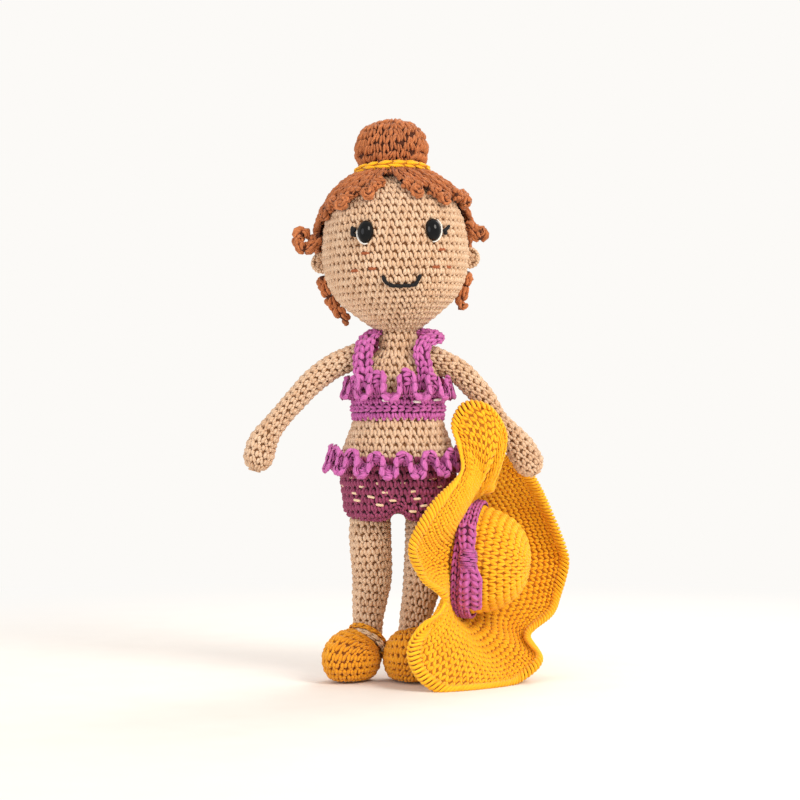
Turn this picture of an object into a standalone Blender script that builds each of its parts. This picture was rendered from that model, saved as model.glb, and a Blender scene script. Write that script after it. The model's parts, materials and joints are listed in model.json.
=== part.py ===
# A crocheted doll in a ruffled two-piece, with a bun on its head and its sun hat beside it.
# Metres, +Z up. The doll faces -Y and its own left is +X. Stuffed forms are shells with
# their stuffing inside, joined at the neck, the shoulders and the hips.
import math

import bmesh
import bpy
import numpy as np
from mathutils import Matrix, Vector

# Walls and clearances
GAP = 0.0003
FABRIC = 0.0020
KNIT = 0.0015
OVERRUN = 0.0050
STANDING_CUT = 0.0005

# Head, measured from the neck joint
NECK_HEIGHT = 0.1632
NECK_RADIUS = 0.0090
NECK_HOLE = 0.0050
HEAD_RADIUS = 0.0345
HEAD_HEIGHT = 0.0753
HEAD_TILT = math.radians(2.0)
FACE_TURN = math.radians(2.85)
HEAD_SHARES = (
    (0.0, 1.0), (0.20, 0.990), (0.42, 0.958), (0.64, 0.897), (0.83, 0.803), (0.95, 0.678),
    (1.0, 0.530), (0.985, 0.395), (0.91, 0.278), (0.79, 0.192), (0.60, 0.116), (0.40, 0.045),
    (0.28, 0.004),
)

# Eyes, mouth and ears
EYE_WIDTH = 0.0074
EYE_HEIGHT = 0.0100
EYE_DEPTH = 0.0034
EYE_STEM_RADIUS = 0.0016
EYE_STEM_LENGTH = 0.0085
EYE_SPREAD = math.radians(28.0)
EYE_LEVEL = 0.0449
WASHER_RADIUS = 0.0055
WASHER_THICKNESS = 0.0016
WASHER_CLEARANCE = 0.0014
WHITE_RADIUS = 0.0007
LASH_RADIUS = 0.0006
LASH_LENGTH = 0.0042
MOUTH_RADIUS = 0.0008
MOUTH_HALF_WIDTH = 0.0086
MOUTH_DROP = 0.0042
MOUTH_LEVEL = 0.0204
EAR_LENGTH = 0.0100
EAR_PROUD = 0.0052
EAR_THICKNESS = 0.0062
EAR_LEVEL = 0.0335

# Hair
HAIR_THICKNESS = 0.0023
CAP_LIFT = 0.0007
HAIR_GROOVE_SHARE = 0.5
HAIR_STRANDS = 17
LOCK_RADIUS = 0.0019
CURL_RADIUS = 0.0024
CAP_TOP_SHARE = 0.10
CAP_EDGE_SHARES = (
    (0.0, 0.900), (45.0, 0.850), (75.0, 0.770), (95.0, 0.590), (120.0, 0.385), (150.0, 0.270),
    (180.0, 0.235),
)
BUN_RADIUS = 0.0170
BUN_HEIGHT = 0.0290
BUN_SINK = 0.0048
BUN_LEAN = math.radians(6.0)
BUN_SHARES = (
    (0.0, 1.0), (0.34, 0.978), (0.63, 0.905), (0.86, 0.775), (0.98, 0.615), (1.0, 0.470),
    (0.94, 0.330), (0.80, 0.215), (0.74, 0.100), (0.70, 0.0),
)
TIE_RADIUS = 0.0017
TIE_LEVEL_SHARE = 0.165

# Torso, from the neck down to the hips
HIP_HEIGHT = 0.0775
TORSO_RADIUS = 0.0240
TORSO_DEPTH_SHARE = 0.86
TORSO_SHARES = (
    (0.375, 1.0), (0.378, 0.962), (0.390, 0.905), (0.500, 0.872), (0.645, 0.840), (0.770, 0.785),
    (0.845, 0.705), (0.870, 0.615), (0.875, 0.520), (0.935, 0.430), (0.985, 0.345),
    (1.0, 0.250), (0.995, 0.130), (0.980, 0.0),
)

# Arms: shoulder ball, then the middle line down to the hand
SHOULDER_BALL = 0.0064
SHOULDER_SPREAD = 0.0195
ARM_REACH = 0.0460
ARM_RADIUS = 0.0058
HAND_RADIUS = 0.0072
ARM_RADIUS_SHARES = (1.04, 1.02, 1.0, 0.95, 0.90, 0.97, 1.20, 1.24)
RIGHT_SHOULDER_HEIGHT = 0.1520
LEFT_SHOULDER_HEIGHT = 0.1495
RIGHT_ARM_SHARES = (
    (0.0, 0.0), (0.228, -0.098), (0.435, -0.250), (0.576, -0.396), (0.735, -0.574),
    (0.870, -0.739), (0.957, -0.880), (1.0, -1.022),
)
LEFT_ARM_SHARES = (
    (0.0, 0.0), (0.185, -0.098), (0.315, -0.217), (0.465, -0.393), (0.576, -0.587),
    (0.707, -0.728), (0.815, -0.870), (0.905, -1.020),
)

# Legs: hip ball, then the middle line down to the foot
HIP_BALL = 0.0098
HIP_SPREAD = 0.0126
FOOT_HEIGHT = 0.0110
LEG_LENGTH = HIP_HEIGHT - FOOT_HEIGHT
LEG_RADIUS = 0.0094
RIGHT_LEG_SHARES = (
    (0.0, 0.0, 0.99), (0.008, -0.10, 1.05), (0.003, -0.24, 1.04), (-0.006, -0.44, 0.99),
    (0.010, -0.60, 0.88), (0.022, -0.72, 0.76), (0.025, -0.81, 0.70), (0.044, -0.90, 0.64),
    (0.066, -1.0, 0.60),
)
LEFT_LEG_SHARES = (
    (0.0, 0.0, 0.99), (0.010, -0.10, 1.05), (0.004, -0.24, 1.03), (-0.014, -0.44, 0.98),
    (-0.040, -0.60, 0.87), (-0.068, -0.72, 0.76), (-0.080, -0.81, 0.70), (-0.090, -0.90, 0.64),
    (-0.100, -1.0, 0.60),
)

# Shoes
SHOE_HALF_WIDTH = 0.0120
SHOE_HALF_LENGTH = 0.0180
SHOE_MIDDLE_HEIGHT = 0.0110
SHOE_TOP = 0.0245
SHOE_WALL = 0.0020
SHOE_OPENING = 0.0074
SHOE_TOE_SHIFT = 0.0065
RIGHT_SHOE_SIDE = 0.0183
LEFT_SHOE_SIDE = 0.0039
RIGHT_TOE_TURN = math.radians(-30.0)
LEFT_TOE_TURN = math.radians(12.0)
STRAP_CORD_RADIUS = 0.0011
STRAP_CORD_LEVEL = 0.0270
STRAP_CORD_TILT = math.radians(8.0)
ANKLE_RADIUS = 0.0073

# Clothes
BAND_TOP = 0.1352
BAND_BOTTOM = 0.1228
SHORTS_TOP = 0.1055
LEG_HOLE_RADIUS = 0.0120
LEG_HOLE_SPREAD = 0.0145
RUFFLE_WALL = 0.0014
TOP_RUFFLE_BASE = 0.1340
TOP_RUFFLE_RISE = 0.0125
TOP_RUFFLE_DROP = 0.0030
TOP_RUFFLE_FLARE = 0.0050
TOP_RUFFLE_FOLDS = 10
TOP_RUFFLE_SIDE_RISE = 0.0
SHORTS_RUFFLE_BASE = 0.1012
SHORTS_RUFFLE_RISE = 0.0067
SHORTS_RUFFLE_DROP = 0.0066
SHORTS_RUFFLE_FLARE = 0.0066
SHORTS_RUFFLE_FOLDS = 14
SHORTS_RUFFLE_SIDE_RISE = 0.0030
RUFFLE_SWAY = 0.29
RUFFLE_PHASE_SHARE = 0.35
STRAP_WIDTH = 0.0060
STRAP_THICKNESS = 0.0017

# Hat, on its side with the crown's axis to the doll's left, a little forward and down
HAT_MIDDLE = (0.0286, 0.0080, 0.0570)
HAT_TURN = math.radians(11.0)
HAT_RISE = math.radians(-6.0)
CROWN_RADIUS = 0.0265
CROWN_DEPTH = 0.0344
CROWN_WALL = 0.0028
BRIM_MIDDLE = (0.0360, 0.0080, 0.0572)
BRIM_REACH = 0.0745
BRIM_WALL = 0.0026
BRIM_OVERLAP = 0.0010
HAT_BAND_WIDTH = 0.0110
HAT_BAND_WALL = 0.0018
HAT_BAND_LEVEL = 0.0034
BOW_THICKNESS = 0.0026
BOW_SPREAD = math.radians(42.0)
BOW_MIDDLE = math.radians(5.0)
BOW_WAIST_SHARE = 0.62
KNOT_LENGTH = 0.0120
KNOT_PROUD = 0.0046
CROWN_SHARES = (
    (0.0, 1.0), (0.30, 0.975), (0.56, 0.890), (0.76, 0.745), (0.89, 0.560), (0.965, 0.330),
    (1.0, 0.0),
)

# Brim stations by the angle round the crown, from the near side upwards: its middle line and
# its edge, as offsets from the brim's middle in shares of its reach
BRIM_SHARES = (
    (0.0, (-0.329, -0.510, -0.023), (-0.349, -0.711, -0.030)),
    (12.0, (-0.309, -0.523, 0.098), (-0.399, -0.725, 0.123)),
    (25.0, (-0.201, -0.550, 0.226), (-0.283, -0.671, 0.349)),
    (36.0, (-0.081, -0.483, 0.387), (-0.141, -0.456, 0.568)),
    (43.0, (0.004, -0.383, 0.534), (-0.180, -0.338, 0.742)),
    (48.0, (0.034, -0.369, 0.615), (-0.134, -0.282, 0.856)),
    (54.0, (0.081, -0.369, 0.682), (-0.067, -0.255, 0.970)),
    (60.0, (0.121, -0.336, 0.695), (0.054, -0.262, 0.964)),
    (66.0, (0.121, -0.302, 0.588), (0.165, -0.262, 0.821)),
    (73.0, (0.067, -0.228, 0.454), (0.148, -0.239, 0.628)),
    (81.0, (0.034, -0.114, 0.413), (0.107, -0.134, 0.454)),
    (88.0, (0.054, 0.000, 0.413), (0.121, -0.013, 0.454)),
    (96.0, (0.081, 0.081, 0.474), (0.174, 0.067, 0.615)),
    (108.0, (0.134, 0.148, 0.474), (0.268, 0.081, 0.628)),
    (122.0, (0.174, 0.228, 0.427), (0.376, 0.134, 0.507)),
    (140.0, (0.268, 0.376, 0.286), (0.485, 0.295, 0.307)),
    (165.0, (0.336, 0.470, 0.085), (0.591, 0.403, 0.064)),
    (180.0, (0.362, 0.490, -0.036), (0.623, 0.430, -0.078)),
    (200.0, (0.336, 0.443, -0.211), (0.564, 0.376, -0.285)),
    (215.0, (0.309, 0.362, -0.325), (0.510, 0.268, -0.388)),
    (235.0, (0.228, 0.215, -0.459), (0.349, 0.054, -0.499)),
    (250.0, (0.228, -0.013, -0.560), (0.409, -0.215, -0.627)),
    (265.0, (0.134, -0.148, -0.627), (0.255, -0.336, -0.748)),
    (280.0, (0.047, -0.268, -0.620), (0.107, -0.483, -0.764)),
    (295.0, (-0.054, -0.383, -0.566), (-0.081, -0.617, -0.764)),
    (308.0, (-0.148, -0.463, -0.519), (-0.242, -0.685, -0.757)),
    (320.0, (-0.221, -0.490, -0.432), (-0.376, -0.685, -0.647)),
    (330.0, (-0.235, -0.503, -0.325), (-0.397, -0.658, -0.475)),
    (342.0, (-0.195, -0.470, -0.184), (-0.255, -0.550, -0.244)),
    (352.0, (-0.248, -0.503, -0.090), (-0.322, -0.671, -0.097)),
)

PALETTE = {
    "skin_yarn": (0.74, 0.53, 0.34),
    "hair_yarn": (0.37, 0.11, 0.03),
    "yellow_yarn": (0.88, 0.45, 0.01),
    "shoe_yarn": (0.75, 0.36, 0.01),
    "orchid_yarn": (0.56, 0.10, 0.41),
    "plum_yarn": (0.26, 0.04, 0.15),
    "black_plastic": (0.01, 0.01, 0.012),
    "white_thread": (0.90, 0.89, 0.85),
    "black_thread": (0.02, 0.018, 0.016),
    "clear_plastic": (0.80, 0.80, 0.80),
    "fibre_fill": (0.92, 0.92, 0.90),
}
ROUGHNESS = {"black_plastic": 0.12, "clear_plastic": 0.35}


def clear_scene():
    for thing in list(bpy.data.objects):
        bpy.data.objects.remove(thing, do_unlink=True)


def new_collection(name):
    collection = bpy.data.collections.new(name)
    bpy.context.scene.collection.children.link(collection)
    return collection


def material(name, yarn):
    """A Principled material of its own for one piece."""
    made = bpy.data.materials.new(name)
    made.use_nodes = True
    shader = made.node_tree.nodes["Principled BSDF"]
    shader.inputs["Base Color"].default_value = (*PALETTE[yarn], 1.0)
    shader.inputs["Roughness"].default_value = ROUGHNESS.get(yarn, 0.85)
    return made


def empty(name, place=(0, 0, 0), parent=None):
    thing = bpy.data.objects.new(name, None)
    thing.empty_display_size = FABRIC
    PARTS.objects.link(thing)
    thing.parent = parent
    thing.location = place
    return thing


def new_object(name, mesh, body, yarn=None):
    """Links a mesh under its body; a piece without yarn is a cutter."""
    thing = bpy.data.objects.new(name, mesh)
    thing.parent = body
    if yarn:
        PARTS.objects.link(thing)
        mesh.materials.clear()
        mesh.materials.append(material(name, yarn))
        mesh.shade_smooth()
    else:
        CUTTERS.objects.link(thing)
        thing.hide_render = True
        thing.display_type = "WIRE"
    return thing


def baked(thing):
    """Turns an object's evaluated shape into its mesh."""
    bpy.context.view_layer.update()
    graph = bpy.context.evaluated_depsgraph_get()
    mesh = bpy.data.meshes.new_from_object(thing.evaluated_get(graph))
    shape = bmesh.new()
    shape.from_mesh(mesh)
    bmesh.ops.remove_doubles(shape, verts=shape.verts, dist=GAP / 100)
    bmesh.ops.recalc_face_normals(shape, faces=shape.faces)
    shape.to_mesh(mesh)
    shape.free()
    return mesh


def turned(profile, steps):
    """Mesh of a (radius, height) profile turned about Z, outer side top to bottom."""
    mesh = bpy.data.meshes.new("profile")
    points = [(radius, 0, height) for radius, height in profile]
    closed = profile[0][0] > 0 and profile[-1][0] > 0
    edges = [(i, i + 1) for i in range(len(points) - 1)]
    if closed:
        edges.append((len(points) - 1, 0))
    mesh.from_pydata(points, edges, [])
    thing = bpy.data.objects.new("profile", mesh)
    CUTTERS.objects.link(thing)
    screw = thing.modifiers.new("Screw", "SCREW")
    screw.steps = screw.render_steps = steps
    screw.use_merge_vertices = True
    screw.merge_threshold = GAP / 30
    made = baked(thing)
    bpy.data.objects.remove(thing, do_unlink=True)
    return made


def tube_mesh(points, radii, resolution):
    """Mesh of a round tube through points, with a radius at each."""
    curve = bpy.data.curves.new("tube", "CURVE")
    curve.dimensions = "3D"
    curve.bevel_depth = max(radii)
    curve.bevel_resolution = resolution
    curve.use_fill_caps = True
    line = curve.splines.new("POLY")
    line.points.add(len(points) - 1)
    for knot, place, radius in zip(line.points, points, radii):
        knot.co = (*place, 1)
        knot.radius = radius / max(radii)
    thing = bpy.data.objects.new("tube", curve)
    CUTTERS.objects.link(thing)
    made = baked(thing)
    bpy.data.objects.remove(thing, do_unlink=True)
    return made


def grid_mesh(rows, closed_rows=False):
    """Mesh of rows of points, each row a closed loop; the rows can also close on themselves."""
    count = len(rows[0])
    mesh = bpy.data.meshes.new("grid")
    pairs = [(k, k + 1) for k in range(len(rows) - 1)]
    if closed_rows:
        pairs.append((len(rows) - 1, 0))
    faces = [
        (a * count + i, a * count + (i + 1) % count, b * count + (i + 1) % count, b * count + i)
        for a, b in pairs
        for i in range(count)
    ]
    mesh.from_pydata([tuple(point) for row in rows for point in row], [], faces)
    return mesh


def capped(mesh, count):
    """Closes the first and the last ring of a lofted mesh."""
    shape = bmesh.new()
    shape.from_mesh(mesh)
    shape.verts.ensure_lookup_table()
    shape.faces.new(shape.verts[:count])
    shape.faces.new(shape.verts[-count:])
    bmesh.ops.recalc_face_normals(shape, faces=shape.faces)
    shape.to_mesh(mesh)
    shape.free()
    return mesh


def outward(mesh):
    shape = bmesh.new()
    shape.from_mesh(mesh)
    bmesh.ops.recalc_face_normals(shape, faces=shape.faces)
    shape.to_mesh(mesh)
    shape.free()
    return mesh


def cut(thing, cutter, solver="EXACT"):
    """Takes the cutter's space out of a piece with a live Boolean."""
    boolean = thing.modifiers.new(cutter.name, "BOOLEAN")
    boolean.operation = "DIFFERENCE"
    boolean.object = cutter
    boolean.solver = solver


def smooth(rows, count):
    """Points evenly spread along a Catmull-Rom curve through the rows."""
    rows = np.array(rows, float)
    ends = np.vstack([2 * rows[0] - rows[1], rows, 2 * rows[-1] - rows[-2]])
    dense = []
    for k in range(1, len(rows)):
        a, b, c, d = ends[k - 1:k + 3]
        for t in np.linspace(0, 1, 12, endpoint=False):
            dense.append(0.5 * (2 * b + (c - a) * t + (2 * a - 5 * b + 4 * c - d) * t ** 2
                                + (3 * b - 3 * c + d - a) * t ** 3))
    dense.append(rows[-1])
    dense = np.array(dense)
    steps = np.linalg.norm(np.diff(dense[:, :3], axis=0), axis=1)
    along = np.concatenate([[0], np.cumsum(steps)])
    wanted = np.linspace(0, along[-1], count)
    return np.column_stack([np.interp(wanted, along, column) for column in dense.T])


def inset(profile, distance):
    """A profile moved inwards square to itself, with its points on the axis kept there."""
    points = np.array(profile, float)
    slope = np.gradient(points, axis=0)
    slope /= np.linalg.norm(slope, axis=1)[:, None]
    moved = points + distance * np.column_stack([slope[:, 1], -slope[:, 0]])
    moved[points[:, 0] == 0, 0] = 0
    return moved


def profile_of(shares, radius, height, count):
    rows = smooth(np.array(shares) * (radius, height), count)
    rows[:, 0] = np.maximum(rows[:, 0], 0)
    return rows


HEAD_PROFILE = profile_of(HEAD_SHARES, HEAD_RADIUS, HEAD_HEIGHT, 13)
HEAD_FINE = profile_of(HEAD_SHARES, HEAD_RADIUS, HEAD_HEIGHT, 90)
HEAD_ALONG = np.concatenate([[0], np.cumsum(np.linalg.norm(np.diff(HEAD_FINE, axis=0), axis=1))])
TORSO_HEIGHT = NECK_HEIGHT - HIP_HEIGHT
TORSO_PROFILE = profile_of(TORSO_SHARES, TORSO_RADIUS, TORSO_HEIGHT, 13) + (0, HIP_HEIGHT)


def on_head(azimuth, height, lift):
    """Point over the head at an angle from the face's middle, with the outward direction."""
    along = np.interp(-height, -HEAD_FINE[:, 1], HEAD_ALONG)
    return along_head(azimuth, along, lift)


def along_head(azimuth, along, lift):
    """The same, with the place given as the distance from the crown of the head."""
    radius = np.interp(along, HEAD_ALONG, HEAD_FINE[:, 0])
    height = np.interp(along, HEAD_ALONG, HEAD_FINE[:, 1])
    step = HEAD_ALONG[-1] / len(HEAD_ALONG)
    ahead = np.interp(along + step, HEAD_ALONG, HEAD_FINE[:, 0])
    behind = np.interp(along - step, HEAD_ALONG, HEAD_FINE[:, 0])
    under = np.interp(along + step, HEAD_ALONG, HEAD_FINE[:, 1])
    over = np.interp(along - step, HEAD_ALONG, HEAD_FINE[:, 1])
    normal = Vector((over - under, 0, ahead - behind)).normalized()
    reach = radius + lift * normal.x
    turn = azimuth + FACE_TURN
    return Vector((reach * math.sin(turn), -reach * math.cos(turn), height + lift * normal.z))


def torso_at(height):
    """Half width and depth share of the torso at a height."""
    radius = np.interp(-height, -TORSO_PROFILE[:, 1], TORSO_PROFILE[:, 0])
    neck_share = (height - BAND_TOP) / (NECK_HEIGHT - BAND_TOP)
    neck_share = min(max(neck_share, 0.0), 1.0)
    return radius, TORSO_DEPTH_SHARE + (1 - TORSO_DEPTH_SHARE) * neck_share


def on_torso(azimuth, height, lift):
    radius, depth = torso_at(height)
    return Vector(((radius + lift) * math.sin(azimuth),
                   -(radius * depth + lift) * math.cos(azimuth), height))


def flattened(mesh):
    """Draws a turned piece of the body in from front to back."""
    for vertex in mesh.vertices:
        vertex.co.y *= torso_at(vertex.co.z)[1]
    return mesh


def ball(name, middle, radius, body, segments=16):
    shape = bmesh.new()
    bmesh.ops.create_uvsphere(shape, u_segments=segments, v_segments=segments // 2, radius=radius)
    bmesh.ops.translate(shape, verts=shape.verts, vec=middle)
    mesh = bpy.data.meshes.new(name)
    shape.to_mesh(mesh)
    shape.free()
    return new_object(name, mesh, body)


def rod(name, start, end, radius, body, segments=16):
    """A cylinder between two points, as a cutter."""
    start, end = Vector(start), Vector(end)
    shape = bmesh.new()
    bmesh.ops.create_cone(shape, cap_ends=True, segments=segments, radius1=radius, radius2=radius,
                          depth=(end - start).length)
    turn = (end - start).to_track_quat("Z", "Y").to_matrix().to_4x4()
    bmesh.ops.transform(shape, matrix=Matrix.Translation((start + end) / 2) @ turn,
                        verts=shape.verts)
    mesh = bpy.data.meshes.new(name)
    shape.to_mesh(mesh)
    shape.free()
    return new_object(name, mesh, body)


def round_end(middle, direction, radius, first, last, count):
    """Points and radii of a ball's slices along a direction, between two angles."""
    angles = np.linspace(math.radians(first), math.radians(last), count)
    places = [Vector(middle) + Vector(direction) * radius * math.sin(angle) for angle in angles]
    return places, [radius * math.cos(angle) for angle in angles]


def limb_mesh(middles, radii, ball_radius, wall, count, resolution, root_reach=0.0):
    """A limb from its joint ball to its rounded tip, drawn in by a wall all over."""
    rows = smooth([(*middle, radius) for middle, radius in zip(middles, radii)], count)
    first = (Vector(rows[1][:3]) - Vector(rows[0][:3])).normalized()
    last = (Vector(rows[-1][:3]) - Vector(rows[-2][:3])).normalized()
    root_ball = ball_radius - wall
    neck = math.degrees(math.acos(min((radii[0] - wall) / root_ball, 1.0)))
    places, sizes = round_end(rows[0][:3], first, root_ball, -60, neck, 4)
    if root_reach:
        places.insert(0, places[0] - first * root_reach)
        sizes.insert(0, sizes[0])
    start = root_ball * math.sin(math.radians(neck))
    for row in rows[1:-1]:
        if (Vector(row[:3]) - Vector(rows[0][:3])).length > start + 2 * GAP:
            places.append(Vector(row[:3]))
            sizes.append(row[3] - wall)
    tip_places, tip_sizes = round_end(rows[-1][:3], last, rows[-1][3] - wall, 0, 76, 4)
    return tube_mesh(places + tip_places, sizes + tip_sizes, resolution)


def make_limb(name, middles, radii, ball_radius, body, count):
    """The limb's shell, open at its root, and the stuffing inside it."""
    shell = new_object(name + "_shell",
                       limb_mesh(middles, radii, ball_radius, 0, count, 3), body, "skin_yarn")
    hollow = new_object(name + "_hollow", limb_mesh(middles, radii, ball_radius, FABRIC, count, 3,
                                                    OVERRUN), body)
    cut(shell, hollow)
    new_object(name + "_stuffing",
               limb_mesh(middles, radii, ball_radius, FABRIC + GAP, count, 3), body,
               "fibre_fill")


def make_head(body):
    neck_ring = HEAD_PROFILE[-1]
    shell = new_object("head_shell", turned([*HEAD_PROFILE, (0, neck_ring[1])], 24), body,
                       "skin_yarn")
    inner = [point for point in inset(HEAD_PROFILE, FABRIC) if point[1] > 2 * FABRIC]
    mouth_of_hollow = [(NECK_HOLE, FABRIC), (NECK_HOLE, -OVERRUN), (0, -OVERRUN)]
    hollow = new_object("head_hollow", turned([*inner, *mouth_of_hollow], 24), body)
    cut(shell, hollow)
    filling = [point for point in inset(HEAD_PROFILE[::1], FABRIC + GAP)
               if point[1] > 2 * FABRIC + GAP]
    stuffing = new_object("head_stuffing", turned([*filling, (0, filling[-1][1])], 16), body,
                          "fibre_fill")
    for side, name in ((1, "left"), (-1, "right")):
        make_eye(side, name, shell, stuffing, body)
    make_mouth(body)
    for side, name in ((1, "left"), (-1, "right")):
        make_ear(side, name, body)


def make_eye(side, name, shell, stuffing, body):
    """Oval dome on a stem through the fabric, a washer behind, white stitches and lashes."""
    azimuth = side * EYE_SPREAD
    seat = on_head(azimuth, EYE_LEVEL, GAP)
    out = (on_head(azimuth, EYE_LEVEL, FABRIC) - seat).normalized()
    facing = Matrix.Translation(seat) @ out.to_track_quat("Z", "Y").to_matrix().to_4x4()
    half = EYE_HEIGHT / 2
    dome = [(0, EYE_DEPTH)]
    dome += [(half * math.sin(a), EYE_DEPTH * math.cos(a)) for a in np.radians((24, 47, 68, 82))]
    stem = [(half, 0), (EYE_STEM_RADIUS, 0), (EYE_STEM_RADIUS, -EYE_STEM_LENGTH),
            (0, -EYE_STEM_LENGTH)]
    mesh = turned([*dome, *stem], 16)
    mesh.transform(facing @ Matrix.Diagonal((EYE_WIDTH / EYE_HEIGHT, 1, 1, 1)))
    new_object("eye_" + name, mesh, body, "black_plastic")
    behind = FABRIC + WASHER_CLEARANCE
    bore = EYE_STEM_RADIUS + GAP
    ring = [(WASHER_RADIUS, -behind), (WASHER_RADIUS, -behind - WASHER_THICKNESS),
            (bore, -behind - WASHER_THICKNESS), (bore, -behind)]
    washer = turned(ring, 14)
    washer.transform(facing)
    new_object("eye_washer_" + name, washer, body, "clear_plastic")
    stem_hole = rod("stem_hole_" + name, seat + out * OVERRUN, seat - out * (OVERRUN + FABRIC),
                    bore + GAP, body)
    cut(shell, stem_hole)
    pocket = rod("washer_pocket_" + name, seat + out * OVERRUN,
                 seat - out * (behind + WASHER_THICKNESS + GAP), WASHER_RADIUS + GAP, body)
    deep_pocket = rod("stem_pocket_" + name, seat + out * FABRIC,
                      seat - out * (EYE_STEM_LENGTH + GAP), bore + GAP, body)
    cut(stuffing, pocket)
    cut(stuffing, deep_pocket)
    make_corner_stitches(side, name, azimuth, body)


def make_corner_stitches(side, name, azimuth, body):
    """The white arc under the outer half of the eye, and two lashes beside it."""
    reach_x = EYE_WIDTH / 2 + WHITE_RADIUS + GAP
    reach_z = EYE_HEIGHT / 2 + WHITE_RADIUS + GAP
    lift = GAP + WHITE_RADIUS
    arc = []
    for angle in np.radians(np.linspace(-8, 82, 8)):
        across = side * reach_x * math.cos(angle)
        level = EYE_LEVEL - reach_z * math.sin(angle)
        arc.append(on_head(azimuth + across / HEAD_RADIUS, level, lift))
    new_object("eye_white_" + name, tube_mesh(arc, [WHITE_RADIUS] * len(arc), 1), body,
               "white_thread")
    corner = side * (EYE_WIDTH / 2 + WHITE_RADIUS * 2 + 2 * GAP)
    tips = ((corner + side * LASH_LENGTH * 0.75, LASH_LENGTH * 0.80), (corner, 0),
            (corner + side * LASH_LENGTH, -LASH_LENGTH * 0.15))
    rise = EYE_LEVEL + WHITE_RADIUS + 2 * LASH_RADIUS
    lash = [on_head(azimuth + x / HEAD_RADIUS, rise + z, GAP + LASH_RADIUS) for x, z in tips]
    new_object("lashes_" + name, tube_mesh(lash, [LASH_RADIUS] * 3, 1), body, "black_thread")


def make_mouth(body):
    """A smile of one thick thread laid on the face."""
    line = []
    for share in np.linspace(-1, 1, 11):
        level = MOUTH_LEVEL + MOUTH_DROP * share ** 2
        azimuth = share * MOUTH_HALF_WIDTH / HEAD_RADIUS * 1.12
        line.append(on_head(azimuth, level, GAP + MOUTH_RADIUS))
    new_object("mouth_stitch", tube_mesh(line, [MOUTH_RADIUS] * len(line), 1), body,
               "black_thread")


def make_ear(side, name, body):
    """A small cupped round, sewn edge-on to the side of the head."""
    turn = math.radians(90) * side - FACE_TURN
    root = on_head(turn, EAR_LEVEL, 0)
    half = EAR_LENGTH / 2
    rim = [(0, 0.30), (0.45, 0.32), (0.72, 0.50), (0.92, 0.36), (1.0, 0.0), (0.85, -0.38),
           (0.45, -0.5), (0, -0.5)]
    mesh = turned([(r * half, z * EAR_THICKNESS) for r, z in rim], 16)
    mesh.transform(Matrix.Translation(root + Vector((side * (EAR_PROUD - half), 0, 0)))
                   @ Matrix.Rotation(math.radians(90), 4, "X"))
    ear = new_object("ear_" + name, mesh, body, "skin_yarn")
    seat = turned([*inset(HEAD_PROFILE, -GAP), (0, HEAD_PROFILE[-1][1])], 28)
    cut(ear, new_object("ear_seat_" + name, seat, body))


def hairline(azimuth):
    """Height of the cap's lower edge at an angle from the face's middle."""
    degrees = math.degrees(abs(azimuth) % (2 * math.pi))
    degrees = min(degrees, 360.0 - degrees)
    shares = [row[1] for row in CAP_EDGE_SHARES]
    return HEAD_HEIGHT * np.interp(degrees, [row[0] for row in CAP_EDGE_SHARES], shares)


def under_hairline(azimuth):
    """Highest level for a lock to start without touching the cap near it."""
    reach = 1.6 * LOCK_RADIUS / HEAD_RADIUS
    return min(hairline(azimuth + turn) for turn in (-reach, 0, reach)) - 3 * GAP


def make_hair_cap(body):
    """Strands sewn side by side from the bun to the hairline, as one ridged cap."""
    columns = HAIR_STRANDS * 3
    rows = 6
    start = CAP_TOP_SHARE * HEAD_ALONG[-1]
    inner, outer = [], []
    for k in range(rows + 1):
        low, high = [], []
        for i in range(columns):
            azimuth = 2 * math.pi * i / columns
            end = np.interp(-hairline(azimuth), -HEAD_FINE[:, 1], HEAD_ALONG)
            along = start + (end - start) * k / rows
            ridge = HAIR_GROOVE_SHARE if i % 3 == 0 else 1.0
            low.append(along_head(azimuth, along, CAP_LIFT))
            high.append(along_head(azimuth, along, CAP_LIFT + HAIR_THICKNESS * ridge))
        inner.append(low)
        outer.append(high)
    mesh = grid_mesh(outer + inner[::-1], closed_rows=True)
    new_object("hair_cap", outward(mesh), body, "hair_yarn")


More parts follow.
